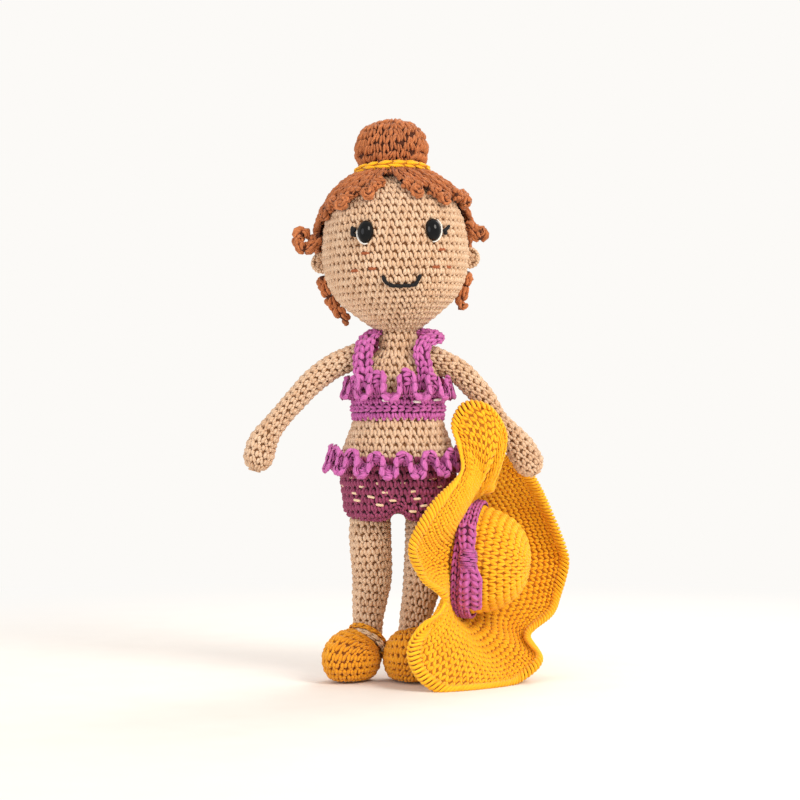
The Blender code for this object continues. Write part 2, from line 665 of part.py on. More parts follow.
def make_locks(body):
    """Fringe curls on the forehead, then side curls and nape locks that stand off the head."""
    fringe = (
        ("fringe_right_inner", -6.0, 0.872, -24.0, 0.822, -1),
        ("fringe_right_middle", -34.0, 0.815, -50.0, 0.768, -1),
        ("fringe_right_outer", -58.0, 0.765, -71.0, 0.695, -1),
        ("fringe_left_inner", 6.0, 0.872, 22.0, 0.822, 1),
        ("fringe_left_middle", 32.0, 0.818, 46.0, 0.775, 1),
        ("fringe_left_outer", 56.0, 0.765, 69.0, 0.708, 1),
    )
    lift = GAP + LOCK_RADIUS
    for name, start_turn, start_share, curl_turn, curl_share, side in fringe:
        middle = curl_share * HEAD_HEIGHT
        start = min(start_share * HEAD_HEIGHT, under_hairline(math.radians(start_turn)))
        places = [on_head(math.radians(start_turn), start, lift)]
        for angle in np.radians(np.linspace(115, -150, 9)):
            across = side * CURL_RADIUS * math.cos(angle) / HEAD_RADIUS
            level = middle + CURL_RADIUS * math.sin(angle)
            places.append(on_head(math.radians(curl_turn) + across, level, lift))
        new_object(name, tube_mesh(places, lock_radii(len(places)), 1), body, "hair_yarn")
    hanging = (
        ("side_curl_right", -86.0, ((0.640, -0.3), (0.610, -0.2), (0.575, 0.4), (0.540, 1.5),
                                    (0.520, 3.2), (0.545, 4.7), (0.605, 5.0), (0.645, 4.1))),
        ("side_curl_left", 82.0, ((0.680, -0.3), (0.650, -0.2), (0.610, 0.3), (0.570, 1.3),
                                  (0.555, 2.8), (0.580, 3.9), (0.625, 4.0))),
        ("nape_lock_right", -103.0, ((0.375, -0.2), (0.300, -0.1), (0.225, 0.8), (0.160, 2.6),
                                     (0.115, 4.4))),
        ("nape_lock_left", 103.0, ((0.375, -0.1), (0.300, 0.0), (0.235, 0.9), (0.195, 2.6),
                                   (0.205, 4.1), (0.255, 4.6))),
    )
    for name, turn, stations in hanging:
        start = under_hairline(math.radians(turn))
        rows = [on_head(math.radians(turn), min(share * HEAD_HEIGHT, start),
                        lift + out * LOCK_RADIUS) for share, out in stations]
        places = [Vector(row) for row in smooth(rows, 10)]
        new_object(name, tube_mesh(places, lock_radii(len(places)), 1), body, "hair_yarn")


def lock_radii(count):
    """A lock is full along its length and blunt at its tip."""
    return [LOCK_RADIUS] * (count - 1) + [LOCK_RADIUS * 0.7]


def make_bun(body):
    """The stuffed bun on top, open where it is sewn to the cap, with a chain tie round its foot."""
    pivot = empty("bun_lean", (0, 0, HEAD_HEIGHT - BUN_SINK), body)
    pivot.rotation_euler = (-BUN_LEAN, 0, 0)
    profile = profile_of(BUN_SHARES, BUN_RADIUS, BUN_HEIGHT, 10)
    shell = new_object("bun_shell", turned([*profile, (0, 0)], 18), pivot, "hair_yarn")
    scalp_lift = HAIR_THICKNESS + CAP_LIFT + GAP
    scalp = inset(HEAD_FINE[:30], -scalp_lift)[::2]
    scalp = turned([*scalp, (scalp[-1][0], HEAD_HEIGHT / 2), (0, HEAD_HEIGHT / 2)], 28)
    scalp = new_object("scalp", scalp, body)
    inner = inset(profile, FABRIC)
    hollow = new_object("bun_hollow", turned([*inner[:-1], (inner[-1][0], -OVERRUN),
                                              (0, -OVERRUN)], 18), pivot)
    cut(shell, hollow)
    cut(shell, scalp)
    filling = inset(profile, FABRIC + GAP)
    stuffing = new_object("bun_stuffing", turned([*filling[:-1], (filling[-1][0], 0), (0, 0)], 12),
                          pivot, "fibre_fill")
    cut(stuffing, scalp)
    level = TIE_LEVEL_SHARE * BUN_HEIGHT
    waist = max(np.interp(-z, -profile[:, 1], profile[:, 0])
                for z in (level - TIE_RADIUS, level, level + TIE_RADIUS))
    middle = waist + GAP + TIE_RADIUS
    ring = [(middle + TIE_RADIUS * math.cos(a), level + TIE_RADIUS * math.sin(a))
            for a in np.radians(np.linspace(90, -270, 7)[:-1])]
    tie = new_object("hair_tie", turned(ring, 20), pivot, "yellow_yarn")
    cut(tie, scalp)


def make_torso(body):
    outer = turned([(0, NECK_HEIGHT), *TORSO_PROFILE, (0, HIP_HEIGHT)], 24)
    shell = new_object("torso_shell", flattened(outer), body, "skin_yarn")
    wall_profile = inset(TORSO_PROFILE, FABRIC)
    floor = HIP_HEIGHT + FABRIC
    inner = [point for point in wall_profile if point[1] > floor + FABRIC]
    inner = [(0, NECK_HEIGHT + OVERRUN), (NECK_HOLE, NECK_HEIGHT + OVERRUN), (NECK_HOLE,
             NECK_HEIGHT - FABRIC), *inner[2:], (wall_profile[-1][0], floor), (0, floor)]
    hollow = new_object("torso_hollow", flattened(turned(inner, 24)), body)
    fill_floor = floor + GAP
    fill_profile = inset(TORSO_PROFILE, FABRIC + GAP)
    filling = [point for point in fill_profile
               if fill_floor + FABRIC < point[1] < NECK_HEIGHT - FABRIC]
    filling = [(0, filling[0][1]), *filling, (fill_profile[-1][0], fill_floor), (0, fill_floor)]
    stuffing = new_object("torso_stuffing", flattened(turned(filling, 16)), body, "fibre_fill")
    joints = (
        ("left_shoulder", (SHOULDER_SPREAD, 0, LEFT_SHOULDER_HEIGHT), SHOULDER_BALL),
        ("right_shoulder", (-SHOULDER_SPREAD, 0, RIGHT_SHOULDER_HEIGHT), SHOULDER_BALL),
        ("left_hip", (HIP_SPREAD, 0, HIP_HEIGHT), HIP_BALL),
        ("right_hip", (-HIP_SPREAD, 0, HIP_HEIGHT), HIP_BALL),
    )
    for name, middle, radius in joints:
        cut(shell, ball(name + "_seat", middle, radius + GAP, body, 20))
        cut(hollow, ball(name + "_wall", middle, radius + GAP + FABRIC, body, 12))
        cut(stuffing, ball(name + "_room", middle, radius + 2 * GAP + FABRIC, body, 12))
    cut(shell, hollow)


def sleeve(top, bottom, lift, wall, steps):
    """A band round the body from one height to another."""
    heights = [top, *[z for z in TORSO_PROFILE[:, 1] if bottom + GAP < z < top - GAP], bottom]
    outer = [(torso_at(z)[0] + lift + wall, z) for z in heights]
    inner = [(torso_at(z)[0] + lift, z) for z in heights[::-1]]
    return flattened(turned(outer + inner, steps))


def make_clothes(body):
    band = sleeve(BAND_TOP, BAND_BOTTOM, GAP, KNIT, 24)
    new_object("top_band", band, body, "orchid_yarn")
    make_shorts(body)
    make_ruffle("top_ruffle", TOP_RUFFLE_BASE, TOP_RUFFLE_SIDE_RISE, TOP_RUFFLE_RISE,
                TOP_RUFFLE_DROP, TOP_RUFFLE_FLARE, TOP_RUFFLE_FOLDS, 0.30, body)
    make_ruffle("shorts_ruffle", SHORTS_RUFFLE_BASE, SHORTS_RUFFLE_SIDE_RISE,
                SHORTS_RUFFLE_RISE, SHORTS_RUFFLE_DROP, SHORTS_RUFFLE_FLARE,
                SHORTS_RUFFLE_FOLDS, 1.0, body)
    for side, name in ((1, "left"), (-1, "right")):
        make_strap(side, name, body)


def make_shorts(body):
    """A cup over the hips with two leg holes and a strip left between the legs."""
    heights = [z for z in TORSO_PROFILE[:, 1] if HIP_HEIGHT + GAP < z < SHORTS_TOP - GAP]
    heights = [SHORTS_TOP, *heights, HIP_HEIGHT]
    under = HIP_HEIGHT - GAP
    outer = [(torso_at(z)[0] + GAP + KNIT, z) for z in heights]
    outer[-1] = (outer[-1][0], under - KNIT)
    inner = [(torso_at(z)[0] + GAP, z) for z in heights[::-1]]
    inner[0] = (inner[0][0], under)
    profile = [(0, under), *inner, *outer, (0, under - KNIT)]
    shorts = new_object("shorts", flattened(turned(profile[::-1], 24)), body, "plum_yarn")
    for side, name in ((1, "left"), (-1, "right")):
        hole = rod("leg_hole_" + name, (side * LEG_HOLE_SPREAD, 0, under - KNIT - OVERRUN),
                   (side * LEG_HOLE_SPREAD, 0, under + GAP), LEG_HOLE_RADIUS, body, 16)
        cut(shorts, hole)


def make_ruffle(name, base, side_rise, rise, drop, flare, folds, side_share, body):
    """A gathered strip that stands off the body, its free edge winding in round loops."""
    columns = folds * 8
    rows = []
    seat = GAP + KNIT + GAP + RUFFLE_WALL / 2
    for share in (0.0, 0.35, 0.7, 1.0):
        row = []
        for i in range(columns):
            azimuth = 2 * math.pi * i / columns
            turn = folds * azimuth - 2 * math.pi * RUFFLE_PHASE_SHARE
            wave = math.cos(turn)
            sway = RUFFLE_SWAY * math.sin(2 * turn) * share * math.pi / folds
            height_share = side_share + (1 - side_share) * math.cos(azimuth) ** 2
            middle = (rise - drop) / 2 * height_share
            swing = (rise + drop) / 2 * height_share
            level = base + side_rise * math.sin(azimuth) ** 2
            level += share ** 1.3 * (middle + swing * wave)
            lift = seat + flare * share * (1 - 0.2 * wave)
            row.append(on_torso(azimuth + sway, level, lift))
        rows.append(row)
    mesh = outward(grid_mesh(rows))
    ruffle = new_object(name, mesh, body, "orchid_yarn")
    wall = ruffle.modifiers.new("Solidify", "SOLIDIFY")
    wall.thickness = RUFFLE_WALL
    wall.offset = 0


def make_strap(side, name, body):
    """A flat strap from the band's front, over the shoulder beside the neck, to its back."""
    lie = 2 * GAP + STRAP_THICKNESS / 2
    neck_side = (38.0, 40.0, 44.0, 54.0, 70.0, 90.0)
    level_shares = (0.0, 0.20, 0.42, 0.66, 0.86, 0.94)
    out_shares = (1.0, 1.0, 1.25, 2.1, 3.4, 3.6)
    rise = NECK_HEIGHT - BAND_TOP
    front = [(turn, BAND_TOP + GAP + share * rise, lie * out)
             for turn, share, out in zip(neck_side, level_shares, out_shares)]
    back = [(180.0 - turn, level, out) for turn, level, out in front[-2::-1]]
    stations = [on_torso(side * math.radians(turn), level, out) for turn, level, out in
                front + back]
    places = [Vector(row) for row in smooth(stations, 15)]
    rings = []
    for k, place in enumerate(places):
        along = (places[min(k + 1, 14)] - places[max(k - 1, 0)]).normalized()
        heart = Vector((0, 0, min(place.z, RIGHT_SHOULDER_HEIGHT) - SHOULDER_BALL))
        out = (place - heart).normalized()
        across = along.cross(out).normalized()
        out = across.cross(along)
        rings.append([place + across * STRAP_WIDTH / 2 * math.cos(a)
                      + out * STRAP_THICKNESS / 2 * math.sin(a)
                      for a in np.linspace(0, 2 * math.pi, 8, endpoint=False)])
    new_object("strap_" + name, capped(grid_mesh(rings), 8), body, "orchid_yarn")


def make_arms(left, right):
    joints = (
        ("arm_left", left, 1, LEFT_SHOULDER_HEIGHT, LEFT_ARM_SHARES),
        ("arm_right", right, -1, RIGHT_SHOULDER_HEIGHT, RIGHT_ARM_SHARES),
    )
    for name, body, side, height, shares in joints:
        middles = [(side * ARM_REACH * x, 0, ARM_REACH * z) for x, z in shares]
        radii = [ARM_RADIUS * share for share in ARM_RADIUS_SHARES]
        make_limb(name, middles, radii, SHOULDER_BALL, body, 8)


def make_legs(left, right):
    joints = (
        ("leg_left", left, 1, LEFT_LEG_SHARES, LEFT_SHOE_SIDE, LEFT_TOE_TURN),
        ("leg_right", right, -1, RIGHT_LEG_SHARES, -RIGHT_SHOE_SIDE, RIGHT_TOE_TURN),
    )
    for name, body, side, shares, shoe_side, toe_turn in joints:
        middles = [(side * LEG_LENGTH * x, 0, LEG_LENGTH * z) for x, z, _ in shares]
        radii = [LEG_RADIUS * share for _, _, share in shares]
        make_limb(name, middles, radii, HIP_BALL, body, 8)
        levels = [-z for _, z, _ in shares]
        drop = (HIP_HEIGHT - STRAP_CORD_LEVEL) / LEG_LENGTH
        ankle = side * (HIP_SPREAD + LEG_LENGTH * np.interp(drop, levels, [x for x, _, _ in shares]))
        make_shoe(name.replace("leg_", ""), body, ankle, side, shoe_side, toe_turn)


def make_shoe(name, body, ankle, side, shoe_side, toe_turn):
    """A round-toed shoe, flat under the sole, with an opening for the foot and an ankle cord."""
    hip = Vector((side * HIP_SPREAD, 0, HIP_HEIGHT))
    heel = Matrix.Translation(Vector((shoe_side, 0, 0)) - hip)
    turn = Matrix.Rotation(toe_turn, 4, "Z")
    middle = Matrix.Translation((0, -SHOE_TOE_SHIFT, SHOE_MIDDLE_HEIGHT))

    def egg(half_width, half_length, half_height):
        shape = bmesh.new()
        bmesh.ops.create_uvsphere(shape, u_segments=18, v_segments=10, radius=1)
        bmesh.ops.transform(shape, verts=shape.verts,
                            matrix=Matrix.Diagonal((half_width, half_length, half_height, 1)))
        bmesh.ops.transform(shape, verts=shape.verts, matrix=heel @ turn @ middle)
        made = bpy.data.meshes.new("egg")
        shape.to_mesh(made)
        shape.free()
        return made

    rise = SHOE_TOP - SHOE_MIDDLE_HEIGHT
    shoe = new_object("shoe_" + name, egg(SHOE_HALF_WIDTH, SHOE_HALF_LENGTH, rise), body,
                      "shoe_yarn")
    hollow = new_object("shoe_hollow_" + name,
                        egg(SHOE_HALF_WIDTH - SHOE_WALL, SHOE_HALF_LENGTH - SHOE_WALL,
                            SHOE_MIDDLE_HEIGHT - SHOE_WALL), body)
    floor = rod("floor_" + name, heel @ Vector((0, 0, -LEG_LENGTH)), heel @ Vector((0, 0, 0)),
                2 * SHOE_HALF_LENGTH, body)
    opening = rod("opening_" + name, Vector((ankle, 0, SHOE_MIDDLE_HEIGHT)) - hip,
                  Vector((ankle, 0, SHOE_TOP + OVERRUN)) - hip, SHOE_OPENING, body, 20)
    for cutter in (hollow, floor, opening):
        cut(shoe, cutter)
    ring_radius = ANKLE_RADIUS + GAP + STRAP_CORD_RADIUS
    ring = [(ring_radius + STRAP_CORD_RADIUS * math.cos(a), STRAP_CORD_RADIUS * math.sin(a))
            for a in np.radians(np.linspace(90, -270, 7)[:-1])]
    cord = turned(ring, 20)
    cord.transform(Matrix.Translation(Vector((ankle, 0, STRAP_CORD_LEVEL)) - hip)
                   @ Matrix.Rotation(-side * STRAP_CORD_TILT, 4, "Y"))
    new_object("shoe_strap_" + name, cord, body, "shoe_yarn")


def make_hat(body, root):
    """Crown, band and bow in the hat's own frame, +Z out of the crown's top; then the brim."""
    profile = profile_of(CROWN_SHARES, CROWN_RADIUS, CROWN_DEPTH, 8)
    inner = inset(profile, CROWN_WALL)
    inner[-1] = (CROWN_RADIUS - CROWN_WALL, 0)
    new_object("hat_crown", turned([*profile, *inner[::-1]], 24), body, "yellow_yarn")
    top = HAT_BAND_LEVEL + HAT_BAND_WIDTH
    side = profile[profile[:, 1] < top][:, 1]
    heights = [top, *[z for z in side if z > HAT_BAND_LEVEL + GAP], HAT_BAND_LEVEL]

    def crown_at(level, lift):
        return np.interp(-level, -profile[:, 1], profile[:, 0]) + lift

    outer = [(crown_at(z, GAP + HAT_BAND_WALL), z) for z in heights]
    ring = [(crown_at(z, GAP), z) for z in heights[::-1]]
    new_object("hat_band", turned(outer + ring, 24), body, "orchid_yarn")
    bow_room = make_bow(body, crown_at)
    room = inset(profile, -GAP)
    room_heights = (top + GAP, *heights[1:-1], HAT_BAND_LEVEL - GAP)
    room_band = [(crown_at(z, 2 * GAP + HAT_BAND_WALL), z) for z in room_heights]
    above = [point for point in room if point[1] > top + 2 * GAP]
    below = [(CROWN_RADIUS + GAP, HAT_BAND_LEVEL - GAP), (CROWN_RADIUS + GAP, -GAP), (0, -GAP)]
    crown_room = turned([*above, (crown_at(top, GAP), top + GAP), *room_band, *below], 24)
    crown_room.transform(Matrix(body.matrix_basis))
    make_brim(root, [new_object("crown_room", crown_room, root), bow_room])


def make_bow(body, crown_at):
    """Two flat loops along the band on the near side, gathered by a knot between them."""
    level = HAT_BAND_LEVEL + HAT_BAND_WIDTH / 2
    under = crown_at(level, 2 * GAP + HAT_BAND_WALL)
    rings = []
    for share in np.linspace(-1, 1, 17):
        angle = BOW_MIDDLE + BOW_SPREAD * share
        pinch = BOW_WAIST_SHARE + (1 - BOW_WAIST_SHARE) * min(abs(share) * 2.2, 1.0)
        end = min(1.0, 3.2 * math.sqrt(1.0 - abs(share)) + 0.35)
        half_width = HAT_BAND_WIDTH / 2 * pinch * end * 0.96
        half_thick = BOW_THICKNESS / 2 * (0.7 + 0.3 * pinch) * (0.55 + 0.45 * end)
        ring = []
        for a in np.linspace(0, 2 * math.pi, 10, endpoint=False):
            height = level + half_width * math.cos(a)
            radius = crown_at(height, 2 * GAP + HAT_BAND_WALL) + half_thick * (1 + math.sin(a))
            ring.append(Vector((radius * math.cos(angle), radius * math.sin(angle), height)))
        rings.append(ring)
    near = near_side_turn(body)
    bow_mesh = capped(grid_mesh(rings), 10)
    bow_mesh.transform(near)
    new_object("hat_bow", bow_mesh, body, "orchid_yarn")
    shape = bmesh.new()
    bmesh.ops.create_uvsphere(shape, u_segments=14, v_segments=8, radius=1)
    place = Matrix.Rotation(BOW_MIDDLE, 4, "Z") @ Matrix.Translation((under, 0, level))
    scale = Matrix.Diagonal((KNOT_PROUD, KNOT_LENGTH / 2, HAT_BAND_WIDTH * 0.48, 1))
    bmesh.ops.transform(shape, matrix=near @ place @ scale, verts=shape.verts)
    knot_mesh = bpy.data.meshes.new("knot")
    shape.to_mesh(knot_mesh)
    shape.free()
    knot = new_object("hat_bow_knot", knot_mesh, body, "orchid_yarn")
    room = []
    for ring in rings:
        middle = sum(ring, Vector()) / len(ring)
        room.append([point + (point - middle).normalized() * GAP * 1.3 for point in ring])
    bow_room = capped(grid_mesh(room), 10)
    bow_room.transform(near)
    edges = [level + HAT_BAND_WIDTH * share for share in (0.6, 0.25, 0, -0.25, -0.6)]
    band_room = [(crown_at(z, 2 * GAP + HAT_BAND_WALL), z) for z in edges]
    band_room = turned([(0, edges[0]), *band_room, (0, edges[-1])], 24)
    cut(knot, new_object("band_room", band_room, body))
    bow_room = new_object("bow_room", bow_room, body)
    cut(knot, bow_room)
    return bow_room


def near_side_turn(body):
    """Turn about the crown's axis that brings +X of the hat's frame to its near side."""
    near = Vector((-math.sin(HAT_TURN), -math.cos(HAT_TURN), 0))
    local = body.matrix_basis.to_3x3().inverted() @ near
    return Matrix.Rotation(math.atan2(local.y, local.x), 4, "Z")


def make_brim(root, rooms):
    """Wide floppy brim through a ring at the crown, a middle line and a waving edge."""
    middle = Vector(HAT_MIDDLE)
    floppy_middle = Vector(BRIM_MIDDLE)
    near = Vector((-math.sin(HAT_TURN), -math.cos(HAT_TURN), 0))
    up = near.cross(HAT_AXIS)
    turns = [math.radians(row[0]) for row in BRIM_SHARES]
    turns.append(turns[0] + 2 * math.pi)
    count = len(BRIM_SHARES)
    columns = []
    for k in range(count):
        for part in (0.0, 0.5):
            angle = turns[k] + (turns[k + 1] - turns[k]) * part
            start = middle + (near * math.cos(angle) + up * math.sin(angle)) * (
                CROWN_RADIUS - BRIM_OVERLAP)
            between, edge = [
                floppy_middle + BRIM_REACH * Vector(between_stations([BRIM_SHARES[(k + j) % count][column]
                                                          for j in (-1, 0, 1, 2)], part))
                for column in (1, 2)
            ]
            columns.append([
                start * ((1 - t) * (1 - 2 * t)) + between * (4 * t * (1 - t))
                + edge * (t * (2 * t - 1))
                for t in (0, 0.25, 0.5, 0.75, 1)
            ])
    rows = [[column[k] for column in columns] for k in range(5)]
    brim = new_object("hat_brim", outward(grid_mesh(rows)), root, "yellow_yarn")
    wall = brim.modifiers.new("Solidify", "SOLIDIFY")
    wall.thickness = BRIM_WALL
    wall.offset = 0
    for room in rooms:
        cut(brim, room)
    floor = rod("floor_hat", middle - Vector((0, 0, HAT_MIDDLE[2] + 2 * OVERRUN)),
                middle - Vector((0, 0, HAT_MIDDLE[2])), 2 * BRIM_REACH, root)
    cut(brim, floor)


def between_stations(points, part):
    """Catmull-Rom point between the second and the third of four stations."""
    a, b, c, d = [np.array(point) for point in points]
    return 0.5 * (2 * b + (c - a) * part + (2 * a - 5 * b + 4 * c - d) * part ** 2
                  + (3 * b - 3 * c + d - a) * part ** 3)


def stand_on_origin(root):
    """Sets the whole figure down with the origin under the middle of its outline."""
    bpy.context.view_layer.update()
    graph = bpy.context.evaluated_depsgraph_get()
    corners = []
    for thing in PARTS.objects:
        if thing.type == "MESH":
            solid = thing.evaluated_get(graph)
            corners += [solid.matrix_world @ vertex.co for vertex in solid.data.vertices]
    corners = np.array(corners)
    low, high = corners.min(axis=0), corners.max(axis=0)
    root.location = (-(low[0] + high[0]) / 2, -(low[1] + high[1]) / 2, -low[2])
    bpy.context.view_layer.update()


clear_scene()
PARTS = new_collection("amigurumi_doll")
CUTTERS = new_collection("cutters")
ROOT = empty("doll")
HEAD = empty("head_turn", (0, 0, NECK_HEIGHT + GAP), ROOT)
HEAD.rotation_euler = (0, -HEAD_TILT, 0)
ARM_LEFT = empty("arm_raise_left", (SHOULDER_SPREAD, 0, LEFT_SHOULDER_HEIGHT), ROOT)
ARM_RIGHT = empty("arm_raise_right", (-SHOULDER_SPREAD, 0, RIGHT_SHOULDER_HEIGHT), ROOT)
LEG_LEFT = empty("leg_swing_left", (HIP_SPREAD, 0, HIP_HEIGHT), ROOT)
LEG_RIGHT = empty("leg_swing_right", (-HIP_SPREAD, 0, HIP_HEIGHT), ROOT)
HAT = empty("hat_slide", HAT_MIDDLE, ROOT)
HAT_AXIS = Vector((math.cos(HAT_TURN) * math.cos(HAT_RISE),
                   -math.sin(HAT_TURN) * math.cos(HAT_RISE), math.sin(HAT_RISE)))
HAT.rotation_euler = HAT_AXIS.to_track_quat("Z", "Y").to_euler()

make_head(HEAD)
make_hair_cap(HEAD)
make_locks(HEAD)
make_bun(HEAD)
make_torso(ROOT)
make_clothes(ROOT)
make_arms(ARM_LEFT, ARM_RIGHT)
make_legs(LEG_LEFT, LEG_RIGHT)
make_hat(HAT, ROOT)
stand_on_origin(ROOT)
for frame in (ROOT, HEAD, ARM_LEFT, ARM_RIGHT, LEG_LEFT, LEG_RIGHT, HAT):
    place = frame.matrix_world.translation
    print("joint", frame.name, " ".join(f"{value:.5f}" for value in place))
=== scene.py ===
# A crocheted doll with its sun hat: yarn, stitches and light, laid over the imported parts.
import json
import math

import bmesh
import bpy
import numpy as np
from mathutils import Matrix, Vector


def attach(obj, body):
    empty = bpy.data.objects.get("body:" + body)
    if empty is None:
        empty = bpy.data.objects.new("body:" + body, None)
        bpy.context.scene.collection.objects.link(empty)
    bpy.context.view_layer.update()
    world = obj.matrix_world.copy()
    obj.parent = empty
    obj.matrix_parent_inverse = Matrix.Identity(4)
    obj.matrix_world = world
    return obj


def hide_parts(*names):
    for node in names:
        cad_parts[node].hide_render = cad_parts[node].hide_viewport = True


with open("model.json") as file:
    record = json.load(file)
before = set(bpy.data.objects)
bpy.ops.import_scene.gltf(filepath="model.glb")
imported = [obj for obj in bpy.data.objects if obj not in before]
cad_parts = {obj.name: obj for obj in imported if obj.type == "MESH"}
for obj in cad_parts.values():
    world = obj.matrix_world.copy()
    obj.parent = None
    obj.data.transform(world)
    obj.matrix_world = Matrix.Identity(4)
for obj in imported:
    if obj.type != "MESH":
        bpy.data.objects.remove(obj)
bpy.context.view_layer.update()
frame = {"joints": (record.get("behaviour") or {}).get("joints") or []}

neckPlace = next(j for j in frame["joints"] if j["name"] == "head_turn")["pos_m"]
dollPlace = np.array((neckPlace[0], neckPlace[1], 0.0))   # where the doll's own middle stands


# small tools
def linear(code):
    channels = [int(code[i:i + 2], 16) / 255 for i in (1, 3, 5)]
    return [c / 12.92 if c <= 0.04045 else ((c + 0.055) / 1.055) ** 2.4 for c in channels] + [1]


def wire(tree, node, inputs):
    for name, value in inputs.items():
        if isinstance(value, bpy.types.NodeSocket):
            tree.links.new(value, node.inputs[name])
        else:
            node.inputs[name].default_value = value
    return node


def addNode(tree, kind, settings, inputs):
    made = tree.nodes.new(kind)
    for name, value in settings.items():
        setattr(made, name, value)
    return wire(tree, made, inputs)


def lengthsAlong(points):
    # how far each point lies along the line that they make
    steps = np.linalg.norm(np.diff(points, axis=0), axis=1)
    return np.concatenate([[0], np.cumsum(steps)])


def curveBetween(a, b, c, d, t):
    # the stretch from b to c of a Catmull-Rom curve
    return 0.5 * (2 * b + (c - a) * t + (2 * a - 5 * b + 4 * c - d) * t ** 2
                  + (3 * b - 3 * c + d - a) * t ** 3)


def smoothRows(rows, count):
    # evenly spaced points along a curve through the rows; a fourth column is a radius
    rows = np.array(rows, float)
    ends = np.vstack([2 * rows[0] - rows[1], rows, 2 * rows[-1] - rows[-2]])
    dense = [curveBetween(*ends[k:k + 4], t) for k in range(len(rows) - 1)
             for t in np.linspace(0, 1, 12, endpoint=False)]
    dense = np.array([*dense, rows[-1]])
    along = lengthsAlong(dense[:, :3])
    wanted = np.linspace(0, along[-1], count)
    return np.column_stack([np.interp(wanted, along, column) for column in dense.T])


def roundGrid(columns):
    return np.linspace(0, 2 * math.pi, columns, endpoint=False)


def aroundAxis(angles, wide, deep, level):
    # places round an upright axis, from the front towards the doll's left
    return np.stack(np.broadcast_arrays(wide * np.sin(angles), -deep * np.cos(angles), level),
                    axis=-1)


def ringsAlong(path, side, lift, columns, wide, thick):
    # oval rings square to a path
    angles = roundGrid(columns)[None, :, None]
    return path[:, None] + (side[:, None] * np.cos(angles) * wide
                            + lift[:, None] * np.sin(angles) * thick)


def bulge(places, proud, middle, spread):
    return proud * np.exp(-((places - middle) / spread) ** 2)


def camel(words):
    first, *rest = words.split("_")
    return first + "".join(word.title() for word in rest)


def unitRows(vectors):
    length = np.linalg.norm(vectors, axis=-1, keepdims=True)
    return vectors / np.maximum(length, 1e-12)


def makeSurface(points, side=None):
    # points[v, u], closed along u; outwards is away from each ring's middle, or the given side
    points = np.array(points, float)
    across = np.roll(points, -1, axis=1) - np.roll(points, 1, axis=1)
    down = np.gradient(points, axis=0)
    normals = unitRows(np.cross(across, down))
    flat = np.linalg.norm(across, axis=2) < 1e-7
    normals[flat] = 0
    for row in (0, -1):
        if flat[row].any():
            normals[row] = unitRows(normals[1 if row == 0 else -2].mean(axis=0))
    if side is None:
        away = points - points.mean(axis=1, keepdims=True)
        side = 1 if (normals * away).sum() > 0 else -1
    return {"points": points, "normals": normals * side, "closed": True, "side": side}


def evenRows(grid, count):
    # the same surface with its rings evenly spaced along its length
    steps = np.median(np.linalg.norm(np.diff(grid, axis=0), axis=2), axis=1)
    along = np.concatenate([[0], np.cumsum(steps)])
    wanted = np.linspace(0, along[-1], count)
    j = np.clip(np.searchsorted(along, wanted) - 1, 0, len(grid) - 2)
    share = ((wanted - along[j]) / np.maximum(along[j + 1] - along[j], 1e-9))[:, None, None]
    return grid[j] * (1 - share) + grid[j + 1] * share


def sample(surface, u, v):
    points, normals = surface["points"], surface["normals"]
    rows, columns = points.shape[:2]
    if surface["closed"]:
        x = (u % 1.0) * columns
        i = np.floor(x).astype(int) % columns
        nextI = (i + 1) % columns
        fx = x - np.floor(x)
    else:
        x = u * (columns - 1)
        i = np.clip(np.floor(x).astype(int), 0, columns - 2)
        nextI = i + 1
        fx = x - i
    y = v * (rows - 1)
    j = np.clip(np.floor(y).astype(int), 0, rows - 2)
    fy = (y - j)[..., None]
    fx = fx[..., None]
    found = []
    for grid in (points, normals):
        top = grid[j, i] * (1 - fx) + grid[j, nextI] * fx
        low = grid[j + 1, i] * (1 - fx) + grid[j + 1, nextI] * fx
        found.append(top * (1 - fy) + low * fy)
    return found[0], unitRows(found[1])


def onItsSide(surface, columns):
    # some columns of a surface as an open one, whose rows of stitches run along them
    return {"points": surface["points"][:, columns].transpose(1, 0, 2),
            "normals": surface["normals"][:, columns].transpose(1, 0, 2),
            "closed": False, "side": -surface["side"]}


def tubeSurface(path, radii, columns, upright):
    ahead = unitRows(np.gradient(path, axis=0))
    side = unitRows(np.cross(ahead, np.array(upright, float)))
    radii = radii[:, None, None]
    return makeSurface(ringsAlong(path, side, np.cross(side, ahead), columns, radii, radii))


def deselect():
    if bpy.context.object and bpy.context.object.mode != "OBJECT":
        bpy.ops.object.mode_set(mode="OBJECT")
    bpy.ops.object.select_all(action="DESELECT")


# the stitches, each modelled once in a box of one stitch: x along the row, y up, z out
def modelLobe(size, lean, place, settings):
    # one plump turn of yarn: a ball drawn long, fuller at its top and tucked in at its foot
    deselect()
    bpy.ops.mesh.primitive_uv_sphere_add(segments=settings["sides"], ring_count=settings["rings"],
                                         radius=1)
    lobe = bpy.context.object
    bpy.ops.object.mode_set(mode="EDIT")
    bpy.ops.mesh.select_all(action="SELECT")
    bpy.ops.transform.rotate(value=math.radians(90), orient_axis="X", center_override=(0, 0, 0))
    bpy.ops.transform.resize(value=size)
    bpy.ops.object.mode_set(mode="OBJECT")
    turn = Matrix.Rotation(-lean, 4, "Z")
    lobe.data.transform(Matrix.Translation(place) @ turn)
    return lobe


